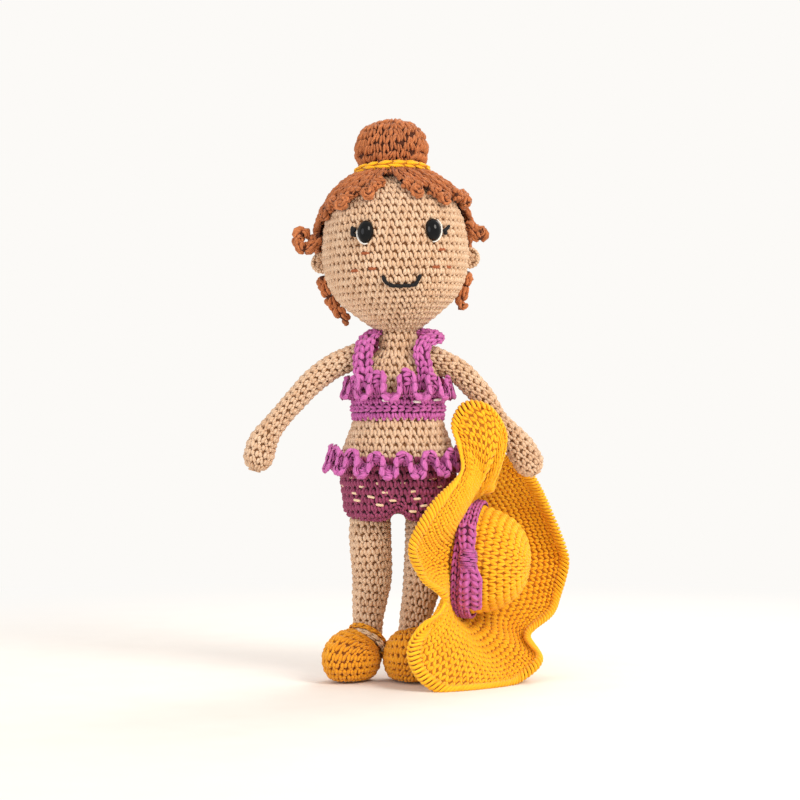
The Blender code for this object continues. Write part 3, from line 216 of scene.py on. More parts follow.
def modelStitch(settings):
    lobes = [modelLobe(*entry, settings) for entry in settings["lobes"]]
    deselect()
    for lobe in lobes:
        lobe.select_set(True)
    bpy.context.view_layer.objects.active = lobes[0]
    if len(lobes) > 1:
        bpy.ops.object.join()
    made = bpy.context.object
    mesh = made.data
    points = np.array([v.co for v in mesh.vertices], float)
    faces = [tuple(p.vertices) for p in mesh.polygons]
    corners = [tuple(loop.uv) for loop in mesh.uv_layers.active.data]
    bpy.data.objects.remove(made, do_unlink=True)
    bpy.data.meshes.remove(mesh)
    return {"points": points, "faces": faces, "corners": np.array(corners, float)}


stitchShapes = {
    # single crochet: an upright leg, a slanting one beside it, and the knot at their foot
    "single": {"sides": 7, "rings": 5, "lobes": (
        ((0.275, 0.47, 1.0), math.radians(2), (-0.25, 0.46, 0.0)),
        ((0.265, 0.45, 0.97), math.radians(20), (0.22, 0.47, -0.03)),
        ((0.245, 0.25, 0.85), 0.0, (0.49, 0.97, -0.04)),
    )},
    # the same with its knots sunk in, as in the soft yarn of the hat
    "broad": {"sides": 7, "rings": 5, "lobes": (
        ((0.27, 0.60, 1.0), math.radians(-16), (-0.24, 0.48, 0.0)),
        ((0.26, 0.58, 0.95), math.radians(18), (0.25, 0.52, -0.05)),
    )},
    # tall slanting strands, as on the bun
    "tall": {"sides": 8, "rings": 5, "lobes": (
        ((0.245, 0.62, 1.0), math.radians(-15), (-0.25, 0.5, 0.0)),
        ((0.235, 0.55, 0.85), math.radians(8), (0.25, 0.5, -0.15)),
    )},
    # chain: two strands side by side along the row, meeting in a point
    "chain": {"sides": 6, "rings": 5, "lobes": (
        ((0.62, 0.24, 0.9), math.radians(-16), (0.0, 0.27, 0.0)),
        ((0.62, 0.24, 0.9), math.radians(16), (0.0, 0.73, 0.0)),
    )},
}
stitches = {name: modelStitch(settings) for name, settings in stitchShapes.items()}
# the stitch of most pieces: its size, how far it stands out of the surface and how far it is
# sunk in, and the drift of each round against the one before, in stitches
singleBody = {"stitch": "single", "width": 0.0037, "height": 0.0037, "depth": 0.00135,
              "lift": -0.00095, "lean": -0.2}
# how uneven the hand work is, in stitches: their places, sizes and levels
uneven = {"place": 0.035, "size": 0.05, "level": 0.03}


def newPiece():
    return {"points": [], "faces": [], "corners": [], "tones": [], "slots": [], "count": 0}


def addMesh(piece, points, faces, corners, tones, slot, flip=False):
    # joins one mesh to a piece; corners holds one UV place for each face corner
    start = piece["count"]
    at = 0
    for face in faces:
        places = [k + start for k in face]
        uv = corners[at:at + len(face)]
        at += len(face)
        piece["faces"].append(places[::-1] if flip else places)
        piece["corners"].append(uv[::-1] if flip else uv)
        piece["slots"].append(slot)
    piece["points"].append(points)
    piece["tones"].append(tones)
    piece["count"] += len(points)


def gridFaces(rows, columns, across):
    faces = []
    for j in range(rows - 1):
        for i in range(across):
            a, b = j * columns + i, j * columns + (i + 1) % columns
            faces.append((a, a + columns, b + columns, b))
    return faces


def layStitches(piece, surface, plan, keep=None):
    # rows of one stitch over a surface, each row with the count that its length asks for
    unit = stitches[plan["stitch"]]
    s, t, n = unit["points"].T
    dice = np.random.default_rng(plan["seed"])
    down = np.linalg.norm(np.diff(surface["points"], axis=0), axis=2).sum(axis=0)
    low, high = plan.get("span", (0.0, 1.0))
    rows = plan.get("rows") or max(1, round(np.median(down) * (high - low) / plan["height"]))
    wild = plan.get("wild", 0.0)
    fine = np.linspace(0, 1, 721)
    for r in range(rows):
        middle = low + (high - low) * (r + 0.5) / rows
        loop, _ = sample(surface, fine, np.full_like(fine, middle))
        if surface["closed"]:
            loop[-1] = loop[0]
        along = lengthsAlong(loop)
        total = along[-1]
        count = max(plan.get("least", 3), round(total / plan["width"]))
        step = total / count
        starts = (np.arange(count) + 0.5 + plan.get("lean", 0.2) * r * surface["closed"]) * step
        starts = starts + dice.normal(0, uneven["place"], count) * step
        swell = 1 + dice.normal(0, uneven["size"], (count, 1))
        tones = dice.random(count)
        swell = swell + dice.normal(0, wild / 2, (count, 1))
        arc = starts[:, None] + s[None, :] * step * swell
        arc = arc + (t[None, :] - 0.5) * dice.normal(0, wild, (count, 1)) * step
        if surface["closed"]:
            arc = arc % total
        u = np.interp(arc, along, fine)
        if not surface["closed"]:
            # a stitch at an open end reaches past it
            u = u + np.minimum(arc, 0) / total + np.maximum(arc - total, 0) / total
        shift = dice.normal(0, uneven["level"] + wild / 2, (count, 1))
        v = low + (high - low) * (r + t[None, :] + shift) / rows + np.zeros_like(u)
        place, normal = sample(surface, u, v)
        copies = place + normal * (plan["lift"] + plan["depth"] * n[None, :] * swell)[..., None]
        kept = range(count)
        if keep:
            middles, _ = sample(surface, np.interp(starts % total, along, fine),
                                np.full(count, middle))
            kept = np.flatnonzero(keep(middles))
        # the unit stands right way round where along x down points outwards
        for k in kept:
            addMesh(piece, copies[k], unit["faces"], unit["corners"], np.full(len(n), tones[k]),
                    0, surface["side"] < 0)


def layBacking(piece, surface, lift, slot, closeEnds=True):
    # the closed cloth behind the stitches, which stops light in the gaps between them
    grid = surface["points"] + surface["normals"] * lift
    if closeEnds:
        grid = np.concatenate([
            np.repeat(grid[:1].mean(axis=1, keepdims=True), grid.shape[1], axis=1), grid,
            np.repeat(grid[-1:].mean(axis=1, keepdims=True), grid.shape[1], axis=1)])
    rows, columns = grid.shape[:2]
    faces = gridFaces(rows, columns, columns if surface["closed"] else columns - 1)
    # across x down is outwards for side 1, and a grid's faces run the other way round
    addMesh(piece, grid.reshape(-1, 3), faces, np.zeros((4 * len(faces), 2)),
            np.full(rows * columns, 0.5), slot, surface["side"] > 0)


def finishPiece(name, piece, materials, merge=1e-6):
    points = np.concatenate(piece["points"]) + dollPlace
    points[:, 2] = np.maximum(points[:, 2], 0)         # yarn is pressed flat where it stands
    mesh = bpy.data.meshes.new(name)
    mesh.from_pydata(points.tolist(), [], piece["faces"])
    layer = mesh.uv_layers.new(name="strand")
    layer.data.foreach_set("uv", np.concatenate(piece["corners"]).astype(np.float32).ravel())
    tone = mesh.attributes.new("tone", "FLOAT", "POINT")
    tone.data.foreach_set("value", np.concatenate(piece["tones"]).astype(np.float32))
    for material in materials:
        mesh.materials.append(material)
    mesh.polygons.foreach_set("material_index", piece["slots"])
    made = bpy.data.objects.new(name, mesh)
    bpy.context.scene.collection.objects.link(made)
    if merge:
        shape = bmesh.new()
        shape.from_mesh(mesh)
        bmesh.ops.remove_doubles(shape, verts=shape.verts, dist=merge)
        bmesh.ops.dissolve_degenerate(shape, edges=shape.edges, dist=merge)
        shape.to_mesh(mesh)
        shape.free()
    mesh.shade_smooth()
    mesh.update()
    return made
def knit(name, surface, look, keep=None, behind=None):
    # a crocheted piece: the cloth behind, in its yarn's painted-shade colour, then its stitches,
    # in one band or in several
    piece = newPiece()
    layBacking(piece, behind or surface, look["back"], 1, look.get("closeEnds", True))
    for part in look.get("bands", [{}]):
        layStitches(piece, surface, {**look, **part}, keep)
    return finishPiece(name, piece, [yarns[look["yarn"]], paintedShadeBacks[look["yarn"]]])


def makeSheet(name, surface, yarn, thickness):
    # the thin cloth that carries a ruffle's or the brim's stitches, coloured in its yarn's
    # painted shade
    piece = newPiece()
    layBacking(piece, surface, 0.0, 0, closeEnds=False)
    cloth = finishPiece(name, piece, [paintedShadeBacks[yarn]])
    wall = cloth.modifiers.new("Solidify", "SOLIDIFY")
    wall.thickness = thickness
    wall.offset = 0
    deselect()
    cloth.select_set(True)
    bpy.context.view_layer.objects.active = cloth
    bpy.ops.object.modifier_apply(modifier="Solidify")
    return cloth


def declare(made, body, slot, *nodes, fill=None):
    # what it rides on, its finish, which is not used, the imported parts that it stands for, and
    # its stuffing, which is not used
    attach(made, body)
    if nodes:
        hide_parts(*nodes)


# yarns
def newMaterial(name):
    material = bpy.data.materials.new(name)
    material.use_nodes = True
    return material, material.node_tree, material.node_tree.nodes["Principled BSDF"]


def maths(tree, operation, *values, clamp=False):
    made = addNode(tree, "ShaderNodeMath", {"operation": operation, "use_clamp": clamp},
                   dict(enumerate(values)))
    return made.outputs[0]


def objectPlace(tree):
    return addNode(tree, "ShaderNodeTexCoord", {}, {}).outputs["Object"]


def noiseOver(tree, place, patch, detail):
    # soft noise, its size in metres
    return addNode(tree, "ShaderNodeTexNoise", {}, {
        "Vector": place, "Scale": 1 / patch, "Detail": detail}).outputs["Fac"]


def mixedColour(tree, share, low, high):
    return addNode(tree, "ShaderNodeMix", {"data_type": "RGBA"}, {
        "Factor": share, "A": low, "B": high}).outputs["Result"]


def yarnFinish(name, look):
    # mercerised cotton, plied and crocheted: rounded strands with a fine slanting twist, a soft
    # sheen on their crowns and small shifts of tone from stitch to stitch
    material, tree, shader = newMaterial(name)
    strand = addNode(tree, "ShaderNodeUVMap", {"uv_map": "strand"}, {})
    # three plies seen round a strand, and one turn of them in about 2 mm of its length
    twist = addNode(tree, "ShaderNodeVectorMath", {"operation": "DOT_PRODUCT"},
                    {0: strand.outputs["UV"], 1: (look["plies"], look["turns"], 0)})
    plies = maths(tree, "SINE", maths(tree, "MULTIPLY", twist.outputs["Value"], 2 * math.pi))
    place = objectPlace(tree)
    # fibres about 0.25 mm apart, and dye that drifts over some 6 mm
    fibres = noiseOver(tree, place, look["fibre"], 3.0)
    dye = noiseOver(tree, place, look["drift"], 1.0)
    tone = addNode(tree, "ShaderNodeAttribute", {"attribute_name": "tone"}, {}).outputs["Fac"]
    # each of the four shifts the colour about the middle of deep and lit: the ply wave as painted
    # shade and highlight along the twist, the stitch tone, fibres and dye drift as the yarn's own
    # tone
    middle = (look["stitchTone"] + look["fibreTone"] + look["dyeTone"]) / 2
    share = maths(tree, "MULTIPLY_ADD", plies, look["plyPaintedShade"], 0.5)
    share = maths(tree, "MULTIPLY_ADD", tone, look["stitchTone"], share)
    share = maths(tree, "MULTIPLY_ADD", fibres, look["fibreTone"], share)
    share = maths(tree, "MULTIPLY_ADD", dye, look["dyeTone"],
                  maths(tree, "SUBTRACT", share, middle), clamp=True)
    bump = addNode(tree, "ShaderNodeBump", {}, {
        "Height": maths(tree, "MULTIPLY_ADD", plies, look["plyRelief"], fibres),
        "Strength": 0.5, "Distance": look["plyDepth"]})
    wire(tree, shader, {
        "Base Color": mixedColour(tree, share, linear(look["deep"]), linear(look["lit"])),
        "Normal": bump.outputs["Normal"], "Roughness": look["roughness"],
        "Specular IOR Level": 0.30, "Sheen Weight": look["sheen"], "Sheen Roughness": 0.45})
    return material


def paintedShadeBehind(name, code):
    # the cotton between the stitches, its colour darkened as painted shade where hardly any light
    # falls
    material, tree, shader = newMaterial(name)
    dark = [channel * 0.6 for channel in linear(code)[:3]] + [1]
    noise = noiseOver(tree, objectPlace(tree), 0.0012, 2.0)
    wire(tree, shader, {"Base Color": mixedColour(tree, noise, dark, linear(code)),
                        "Roughness": 0.95})
    return material


# lit and deep are a lit and a shaded colour of each yarn, which its finish mixes; back is the
# yarn darkened as painted shade for the cloth seen between the stitches
yarnSettings = {
    "skin": {"lit": "#E7CDB1", "deep": "#C79D77", "back": "#8E623C"},
    "hair": {"lit": "#D0804C", "deep": "#965630", "back": "#5A2C14"},
    "yellow": {"lit": "#FFC822", "deep": "#F4A80E", "back": "#BE7208"},
    "shoe": {"lit": "#F0A922", "deep": "#D98C10", "back": "#8E4E08"},
    "orchid": {"lit": "#D675BC", "deep": "#AE4E92", "back": "#5C1C44"},
    "plum": {"lit": "#A94F76", "deep": "#82324F", "back": "#451426"},
    "cream": {"lit": "#F8E2C0", "deep": "#E6C69C", "back": "#A07C50"},
    "white": {"lit": "#FBF9F4", "deep": "#E8E4DA", "back": "#B0AA9C"},
    "black": {"lit": "#19181A", "deep": "#0C0B0D", "back": "#050505", "sheen": 0.02},
    "freckle": {"lit": "#A85A32", "deep": "#8C4826", "back": "#5E2A12"},
    "linen": {"lit": "#E6CCAC", "deep": "#C8A680", "back": "#8A6A4A"},
}
yarnBase = {"plies": 3.0, "turns": 2.0, "fibre": 0.00050, "drift": 0.0120, "plyPaintedShade": 0.22,
            "stitchTone": 0.35, "fibreTone": 0.35, "dyeTone": 0.30, "plyRelief": 0.35,
            "plyDepth": 0.00022, "roughness": 0.78, "sheen": 0.20}
yarns = {}
paintedShadeBacks = {}
for yarnName, colours in yarnSettings.items():
    yarns[yarnName] = yarnFinish("plied cotton " + yarnName, {**yarnBase, **colours})
    paintedShadeBacks[yarnName] = paintedShadeBehind("cotton in painted shade behind " + yarnName, colours["back"])
print("stage: yarns ready")


# head; lengths are in metres, and profiles are shares of a radius and a height
def profileOf(shares, radius, height, count):
    rows = smoothRows(np.array(shares) * (radius, height), count)
    rows[:, 0] = np.maximum(rows[:, 0], 0)
    return rows


head = {
    "base": (0.0, 0.0, 0.1635), "tilt": math.radians(2.0), "turn": math.radians(2.85),
    "radius": 0.0345, "height": 0.0753, "underHair": 0.006,
    "shares": ((0.0, 1.0), (0.20, 0.990), (0.42, 0.958), (0.64, 0.897), (0.83, 0.803),
               (0.95, 0.678), (1.0, 0.530), (0.985, 0.395), (0.91, 0.278), (0.79, 0.192),
               (0.60, 0.116), (0.40, 0.045), (0.28, 0.004)),
    "knit": {**singleBody, "width": 0.00375, "height": 0.00378, "seed": 11, "yarn": "skin",
             "back": -0.0014},
}
headProfile = profileOf(head["shares"], head["radius"], head["height"], 240)
headAlong = lengthsAlong(headProfile)
headSlope = unitRows(np.gradient(headProfile, axis=0))
headTurn = Matrix.Rotation(-head["tilt"], 3, "Y")


def toWorldFromHead(points):
    return points @ np.array(headTurn).T + np.array(head["base"])


def alongHead(azimuth, along, lift):
    # place over the head, by the distance from its crown; all three can be arrays
    radius = np.interp(along, headAlong, headProfile[:, 0])
    height = np.interp(along, headAlong, headProfile[:, 1])
    reach = radius - lift * np.interp(along, headAlong, headSlope[:, 1])
    level = height + lift * np.interp(along, headAlong, headSlope[:, 0])
    return toWorldFromHead(aroundAxis(azimuth + head["turn"], reach, reach, level))


def onHead(azimuth, height, lift):
    along = np.interp(-np.asarray(height, float), -headProfile[:, 1], headAlong)
    return alongHead(azimuth, along, lift)


def makeHead():
    along = np.linspace(0, headAlong[-1], 160)[:, None]
    surface = makeSurface(alongHead(roundGrid(180), along, 0.0))
    declare(knit("headSkin", surface, head["knit"], keep=belowHair), "head", "skin_yarn",
            "head_shell", "head_stuffing", fill=0.9)


# the hair's edge, by the turn to the doll's left in degrees; it parts a little to its right
capEdge = ((-180.0, 0.235), (-150.0, 0.270), (-120.0, 0.385), (-95.0, 0.590), (-75.0, 0.755),
           (-50.0, 0.820), (-26.0, 0.868), (-9.0, 0.945), (6.0, 0.890), (22.0, 0.850),
           (45.0, 0.820), (75.0, 0.765), (95.0, 0.590), (120.0, 0.385), (150.0, 0.270),
           (180.0, 0.235))


def hairline(azimuth):
    degrees = (np.degrees(azimuth) + 180) % 360 - 180
    return head["height"] * np.interp(degrees, [row[0] for row in capEdge],
                                      [row[1] for row in capEdge])


def belowHair(places):
    local = (places - np.array(head["base"])) @ np.array(headTurn)
    azimuth = np.arctan2(local[:, 0], -local[:, 1]) - head["turn"]
    return local[:, 2] < hairline(azimuth) + head["underHair"]


ear = {"length": 0.0100, "proud": 0.0052, "thick": 0.0062, "level": 0.0335,
       "rim": ((0, 0.30), (0.45, 0.32), (0.72, 0.50), (0.92, 0.36), (1.0, 0.0),
               (0.85, -0.38), (0.45, -0.5), (0, -0.5)),
       "knit": {"stitch": "single", "width": 0.0034, "height": 0.0034, "depth": 0.0011,
                "lift": -0.0006, "lean": 0.3, "seed": 5, "yarn": "skin", "back": -0.0008}}


def makeEar(side, name):
    half = ear["length"] / 2
    root = onHead(math.radians(90) * side - head["turn"], ear["level"], 0.0)
    rim = smoothRows(np.array(ear["rim"]) * (half, ear["thick"]), 40)
    angles = roundGrid(48)
    # turned about the front-to-back line, its cup to the front
    grid = np.stack([rim[:, :1] * np.cos(angles), np.broadcast_to(-rim[:, 1:], (40, 48)),
                     rim[:, :1] * np.sin(angles)], axis=-1)
    surface = makeSurface(grid + (root + np.array((side * (ear["proud"] - half), 0, 0))))
    declare(knit("earKnit" + name.title(), surface, ear["knit"]), "head", "skin_yarn",
            "ear_" + name, fill=0.5)


# hair; the cap's strips sweep from the part to both sides and hang straight down behind
hair = {"lift": 0.0007, "thick": 0.0030, "strips": 20, "columns": 24, "start": 0.085,
        "groove": 0.15, "part": math.radians(-9.0), "sweep": 0.72, "sweepFade": 1.2,
        "back": -0.0012, "seed": 40,
        "knit": {"stitch": "chain", "width": 0.0046, "rows": 3, "depth": 0.0016,
                 "lift": -0.0004, "wild": 0.20}}


def makeHairCap():
    columns = hair["columns"]
    count = hair["strips"] * columns
    turns = roundGrid(count)
    azimuths = hair["part"] + turns
    fromPart = (turns + math.pi) % (2 * math.pi) - math.pi
    shares = np.linspace(0, 1, 90)[:, None]
    ends = np.interp(-hairline(azimuths), -headProfile[:, 1], headAlong)
    start = hair["start"] * headAlong[-1]
    along = start + (ends - start) * shares
    sweep = hair["sweep"] * fromPart * np.cos(fromPart / 2) ** 2
    sweep = sweep * (1 - shares) ** hair["sweepFade"]
    across = (turns * hair["strips"] / (2 * math.pi)) % 1.0
    ridge = hair["groove"] + (1 - hair["groove"]) * np.sin(math.pi * across) ** 0.5
    lift = hair["lift"] + hair["thick"] * ridge
    surface = makeSurface(alongHead(azimuths - sweep, along, lift))
    piece = newPiece()
    # the cloth behind the strips takes the hair yarn's painted-shade colour
    layBacking(piece, surface, hair["back"], 1, closeEnds=False)
    for k in range(hair["strips"]):
        strip = onItsSide(surface, [(k * columns + i) % count for i in range(columns + 1)])
        layStitches(piece, strip, {**hair["knit"], "seed": hair["seed"] + k})
    declare(finishPiece("hairCapKnit", piece, [yarns["hair"], paintedShadeBacks["hair"]]), "head",
            "hair_yarn", "hair_cap")


# locks are crocheted strips that roll up on themselves, as plump stitches round a soft cord
lock = {"radius": 0.0019, "plump": 1.02, "curl": 0.0019, "gap": 0.0003, "underHair": 0.003,
        "curlTurns": (115, -330), "curlEnd": 0.42, "curlRise": 0.0008,
        "taper": ((0, 0.08, 0.9, 1.0), (0.9, 1.0, 1.0, 0.62)),
        "knit": {"stitch": "tall", "width": 0.0038, "height": 0.0034, "depth": 0.0016,
                 "lift": -0.0004, "lean": 0.5, "wild": 0.32, "yarn": "hair",
                 "back": -0.0009}}


def underHairline(azimuth):
    reach = 1.6 * lock["radius"] / head["radius"]
    return min(hairline(azimuth + turn) for turn in (-reach, 0, reach)) - 3 * lock["gap"]


def makeLock(node, path, radius):
    name = camel(node)
    radii = radius * np.interp(np.linspace(0, 1, 60), *lock["taper"])
    surface = tubeSurface(smoothRows(path, 60), radii, 20, upright=(0.03, 1, 0.02))
    declare(knit(name, surface, {**lock["knit"], "seed": len(name)}), "head", "hair_yarn",
            node, fill=0.7)


# curls by node: the turn in degrees and height share of their start and of the curl's middle,
# the side they curl to, and how far the cord stands off the head, in cord radii
curls = (
    ("fringe_right_inner", -12.0, 0.895, -25.0, 0.822, -1, 1.2),
    ("fringe_right_middle", -34.0, 0.850, -49.0, 0.775, -1, 1.2),
    ("fringe_right_outer", -58.0, 0.795, -73.0, 0.725, -1, 1.1),
    ("fringe_left_inner", 6.0, 0.872, 19.0, 0.822, 1, 1.3),
    ("fringe_left_middle", 30.0, 0.828, 43.0, 0.778, 1, 1.4),
    ("fringe_left_outer", 58.0, 0.790, 76.0, 0.772, 1, 2.3),
)
# hanging strands: height shares along the head's side, and how far out, in cord radii
hanging = (
    ("side_curl_right", -86.0, 0.0024, ((0.640, -0.3), (0.610, -0.2), (0.575, 0.4), (0.545, 1.4),
                                        (0.525, 2.8), (0.545, 4.4), (0.595, 5.0), (0.632, 4.2),
                                        (0.618, 3.2), (0.585, 3.3))),
    ("side_curl_left", 82.0, 0.0022, ((0.700, -0.3), (0.660, -0.2), (0.620, 0.2), (0.587, 0.8),
                                      (0.562, 1.6), (0.563, 2.4), (0.588, 2.7), (0.600, 2.0),
                                      (0.582, 1.5))),
    ("nape_lock_right", -103.0, 0.0023, ((0.375, -0.2), (0.320, -0.1), (0.260, 0.1),
                                         (0.200, 0.35), (0.150, 0.8), (0.125, 1.2))),
    ("nape_lock_left", 103.0, 0.0019, ((0.375, -0.1), (0.330, 0.0), (0.285, 0.3), (0.240, 0.5),
                                       (0.205, 0.9), (0.190, 1.8), (0.215, 2.2))),
)
def makeLocks():
    for node, startTurn, startShare, curlTurn, curlShare, side, proud in curls:
        middle = curlShare * head["height"]
        lift = lock["gap"] + lock["radius"] * proud
        start = min(startShare * head["height"],
                    underHairline(math.radians(startTurn)) + lock["underHair"])
        path = [onHead(math.radians(startTurn), start, lift)]
        for angle, size in zip(np.radians(np.linspace(*lock["curlTurns"], 15)),
                               np.linspace(1.0, lock["curlEnd"], 15)):
            across = side * lock["curl"] * size * math.cos(angle) / head["radius"]
            level = middle + lock["curl"] * size * math.sin(angle)
            path.append(onHead(math.radians(curlTurn) + across, level,
                               lift + lock["curlRise"] * (1 - size)))
        makeLock(node, path, lock["radius"] * lock["plump"])
    for node, turn, radius, stations in hanging:
        start = underHairline(math.radians(turn))
        lift = lock["gap"] + lock["radius"]
        path = [onHead(math.radians(turn), min(share * head["height"], start),
                       lift + out * lock["radius"]) for share, out in stations]
        makeLock(node, path, radius)


bun = {"base": 0.0705, "lean": math.radians(6.0), "radius": 0.0170, "height": 0.0290,
       "shares": ((0.0, 1.0), (0.34, 0.978), (0.63, 0.905), (0.86, 0.775), (0.98, 0.615),
                  (1.0, 0.470), (0.94, 0.330), (0.80, 0.215), (0.74, 0.100), (0.70, 0.0)),
       "knit": {"stitch": "tall", "width": 0.0033, "height": 0.0041, "depth": 0.0014,
                "lift": -0.0006, "lean": 0.45, "wild": 0.30, "seed": 23, "yarn": "hair",
                "back": -0.0014},
       "tieLevel": 0.165, "tieRadius": 0.0020}


def bunPlace(points):
    leaned = points @ np.array(Matrix.Rotation(-bun["lean"], 3, "X")).T
    return toWorldFromHead(leaned + np.array((0, 0, bun["base"])))


def makeBun():
    profile = profileOf(bun["shares"], bun["radius"], bun["height"], 80)
    grid = aroundAxis(roundGrid(120), profile[:, :1], profile[:, :1], profile[:, 1:])
    declare(knit("bunKnit", makeSurface(bunPlace(grid)), bun["knit"]), "head", "hair_yarn",
            "bun_shell", "bun_stuffing", fill=0.9)
    level = bun["tieLevel"] * bun["height"]
    reach = max(np.interp(-z, -profile[:, 1], profile[:, 0])
                for z in (level - bun["tieRadius"], level, level + bun["tieRadius"]))
    reach += lock["gap"] + bun["tieRadius"]
    path = bunPlace(aroundAxis(np.linspace(0, 2 * math.pi, 181), reach, reach, level))
    declare(makeChain("hairTieChain", path, bun["tieRadius"], "yellow", 7), "head",
            "yellow_yarn", "hair_tie")


# a closed chain cord: plump slanting strands round a soft core, sized in radii of the cord
chain = {"knit": {"stitch": "chain", "rows": 3, "lean": 0.4, "wild": 0.06, "closeEnds": False},
         "radii": {"width": 3.4, "depth": 0.45, "lift": -0.25, "back": -0.35}}


def makeChain(name, path, radius, yarn, seed):
    line = path[:-1]
    square = np.linalg.svd(path - path.mean(axis=0))[2][2]   # square to the loop's plane
    ahead = unitRows(np.roll(line, -1, axis=0) - np.roll(line, 1, axis=0))
    side = unitRows(np.cross(ahead, square))
    # rings lie along v, so the stitches run round the path when the grid is turned
    grid = ringsAlong(line, side, np.cross(side, ahead), 16, radius, radius).transpose(1, 0, 2)
    outwards = (makeSurface(grid, side=1)["normals"] * (grid - line)).sum() > 0
    surface = makeSurface(grid, side=1 if outwards else -1)
    for part in ("points", "normals"):
        surface[part] = np.concatenate([surface[part], surface[part][:1]])
    sizes = {name: share * radius for name, share in chain["radii"].items()}
    return knit(name, surface, {**chain["knit"], **sizes, "yarn": yarn, "seed": seed})


# torso, with its bare bands of skin as heights; bulges are how proud, where, and how wide
torso = {
    "top": 0.1632, "hip": 0.0775, "radius": 0.0240, "depth": 0.86, "waist": 0.1352,
    "shares": ((0.375, 1.0), (0.378, 0.962), (0.390, 0.905), (0.500, 0.872), (0.645, 0.840),
               (0.770, 0.785), (0.845, 0.705), (0.870, 0.615), (0.875, 0.520), (0.935, 0.430),
               (0.985, 0.345), (1.0, 0.250), (0.995, 0.130), (0.980, 0.0)),
    "neck": 0.0032, "bare": ((0.1005, 0.1245), (0.1340, 0.1700)),
    "belly": (0.0026, 0.1065, 0.0105), "arch": (0.0044, 0.0, 0.0038), "archTop": 0.086,
    "knit": {**singleBody, "width": 0.0039, "height": 0.0039, "seed": 31, "yarn": "skin",
             "back": -0.0014},
}
torsoProfile = profileOf(torso["shares"], torso["radius"], torso["top"] - torso["hip"], 200)
torsoProfile[:, 1] += torso["hip"]


def onTorso(azimuth, height, lift):
    radius = np.interp(-height, -torsoProfile[:, 1], torsoProfile[:, 0])
    neckShare = np.clip((height - torso["waist"]) / (torso["top"] - torso["waist"]), 0, 1)
    depth = torso["depth"] + (1 - torso["depth"]) * neckShare
    return aroundAxis(azimuth, radius + lift, radius * depth + lift, height)


def drawUp(grid):
    # the underside arches up between the legs
    low = np.clip((torso["archTop"] - grid[:, :, 2]) / (torso["archTop"] - torso["hip"]), 0, 1)
    raised = grid.copy()
    raised[:, :, 2] += low * bulge(grid[:, :, 0], *torso["arch"])
    return raised


def makeTorso():
    # the neck's last round reaches up inside the head's opening, and the stuffed belly rounds
    # out under the band, more than the shell under it
    heights = np.linspace(torso["top"] + torso["neck"], torso["hip"], 140)[:, None]
    surface = makeSurface(drawUp(onTorso(roundGrid(120), heights,
                                         bulge(heights, *torso["belly"]))))

    def bare(at):
        return np.any([(low < at[:, 2]) & (at[:, 2] < high) for low, high in torso["bare"]],
                      axis=0)

    declare(knit("torsoSkin", surface, torso["knit"], keep=bare), "torso", "skin_yarn",
            "torso_shell", "torso_stuffing", fill=0.9)


# clothes
clothes = {"gap": 0.0003, "thick": 0.0015, "wall": 0.0014}
band = {"top": 0.1352, "bottom": 0.1228, "sunk": 0.0007,
        "knit": {**singleBody, "width": 0.0034, "lift": -0.0009, "seed": 51,
                 "yarn": "orchid", "back": -0.0012, "closeEnds": False, "bands": (
                     {"rows": 2, "span": (0.0, 0.50)},
                     {"rows": 1, "span": (0.50, 0.76), "stitch": "chain", "lift": -0.0002,
                      "depth": 0.0012},
                     {"rows": 1, "span": (0.76, 1.02)})}}


def makeBand():
    heights = np.linspace(band["top"], band["bottom"], 30)[:, None]
    lift = clothes["gap"] + clothes["thick"] - band["sunk"]
    surface = makeSurface(onTorso(roundGrid(120), heights, lift))
    declare(knit("topBandKnit", surface, band["knit"]), "torso", "orchid_yarn", "top_band")


shorts = {"top": 0.1055, "turn": 0.0004, "bellyShare": 0.5, "hips": (0.0010, 0.094, 0.008),
          "legHole": 0.0114, "legSpread": 0.0145, "underside": 0.0008, "edgeShare": 14,
          "edgeRound": 0.6,
          "knit": {**singleBody, "lift": -0.0007, "seed": 61, "yarn": "plum",
                   "back": -0.0012, "closeEnds": False}}


def makeShorts():
    lift = clothes["gap"] + clothes["thick"]
    heights = np.linspace(shorts["top"], torso["hip"] + shorts["turn"], 60)[:, None]
    fuller = (shorts["bellyShare"] * bulge(heights, *torso["belly"])
              + bulge(heights, *shorts["hips"]))
    side = onTorso(roundGrid(120), heights, lift + fuller)
    under = torso["hip"] - lift
    rows = [side]
    for share in np.linspace(0, 1, 60)[1:]:
        # the underside, flat but for a short round edge
        ring = side[-1] * np.array((1 - share, 1 - share, 1))
        edge = max(0, 1 - share * shorts["edgeShare"]) ** shorts["edgeRound"]
        ring[:, 2] = under + (side[-1][:, 2] - under) * edge
        rows.append(ring[None])
    surface = makeSurface(drawUp(evenRows(np.concatenate(rows), 120)))

    def clearOfLegs(at):
        reach = np.minimum(*(np.hypot(at[:, 0] + way * shorts["legSpread"], at[:, 1])
                             for way in (-1, 1)))
        return (at[:, 2] > torso["hip"] + shorts["underside"]) | (reach > shorts["legHole"])

    made = knit("shortsKnit", surface, shorts["knit"], keep=clearOfLegs,
                behind=makeSurface(drawUp(side)))
    declare(made, "torso", "plum_yarn", "shorts")


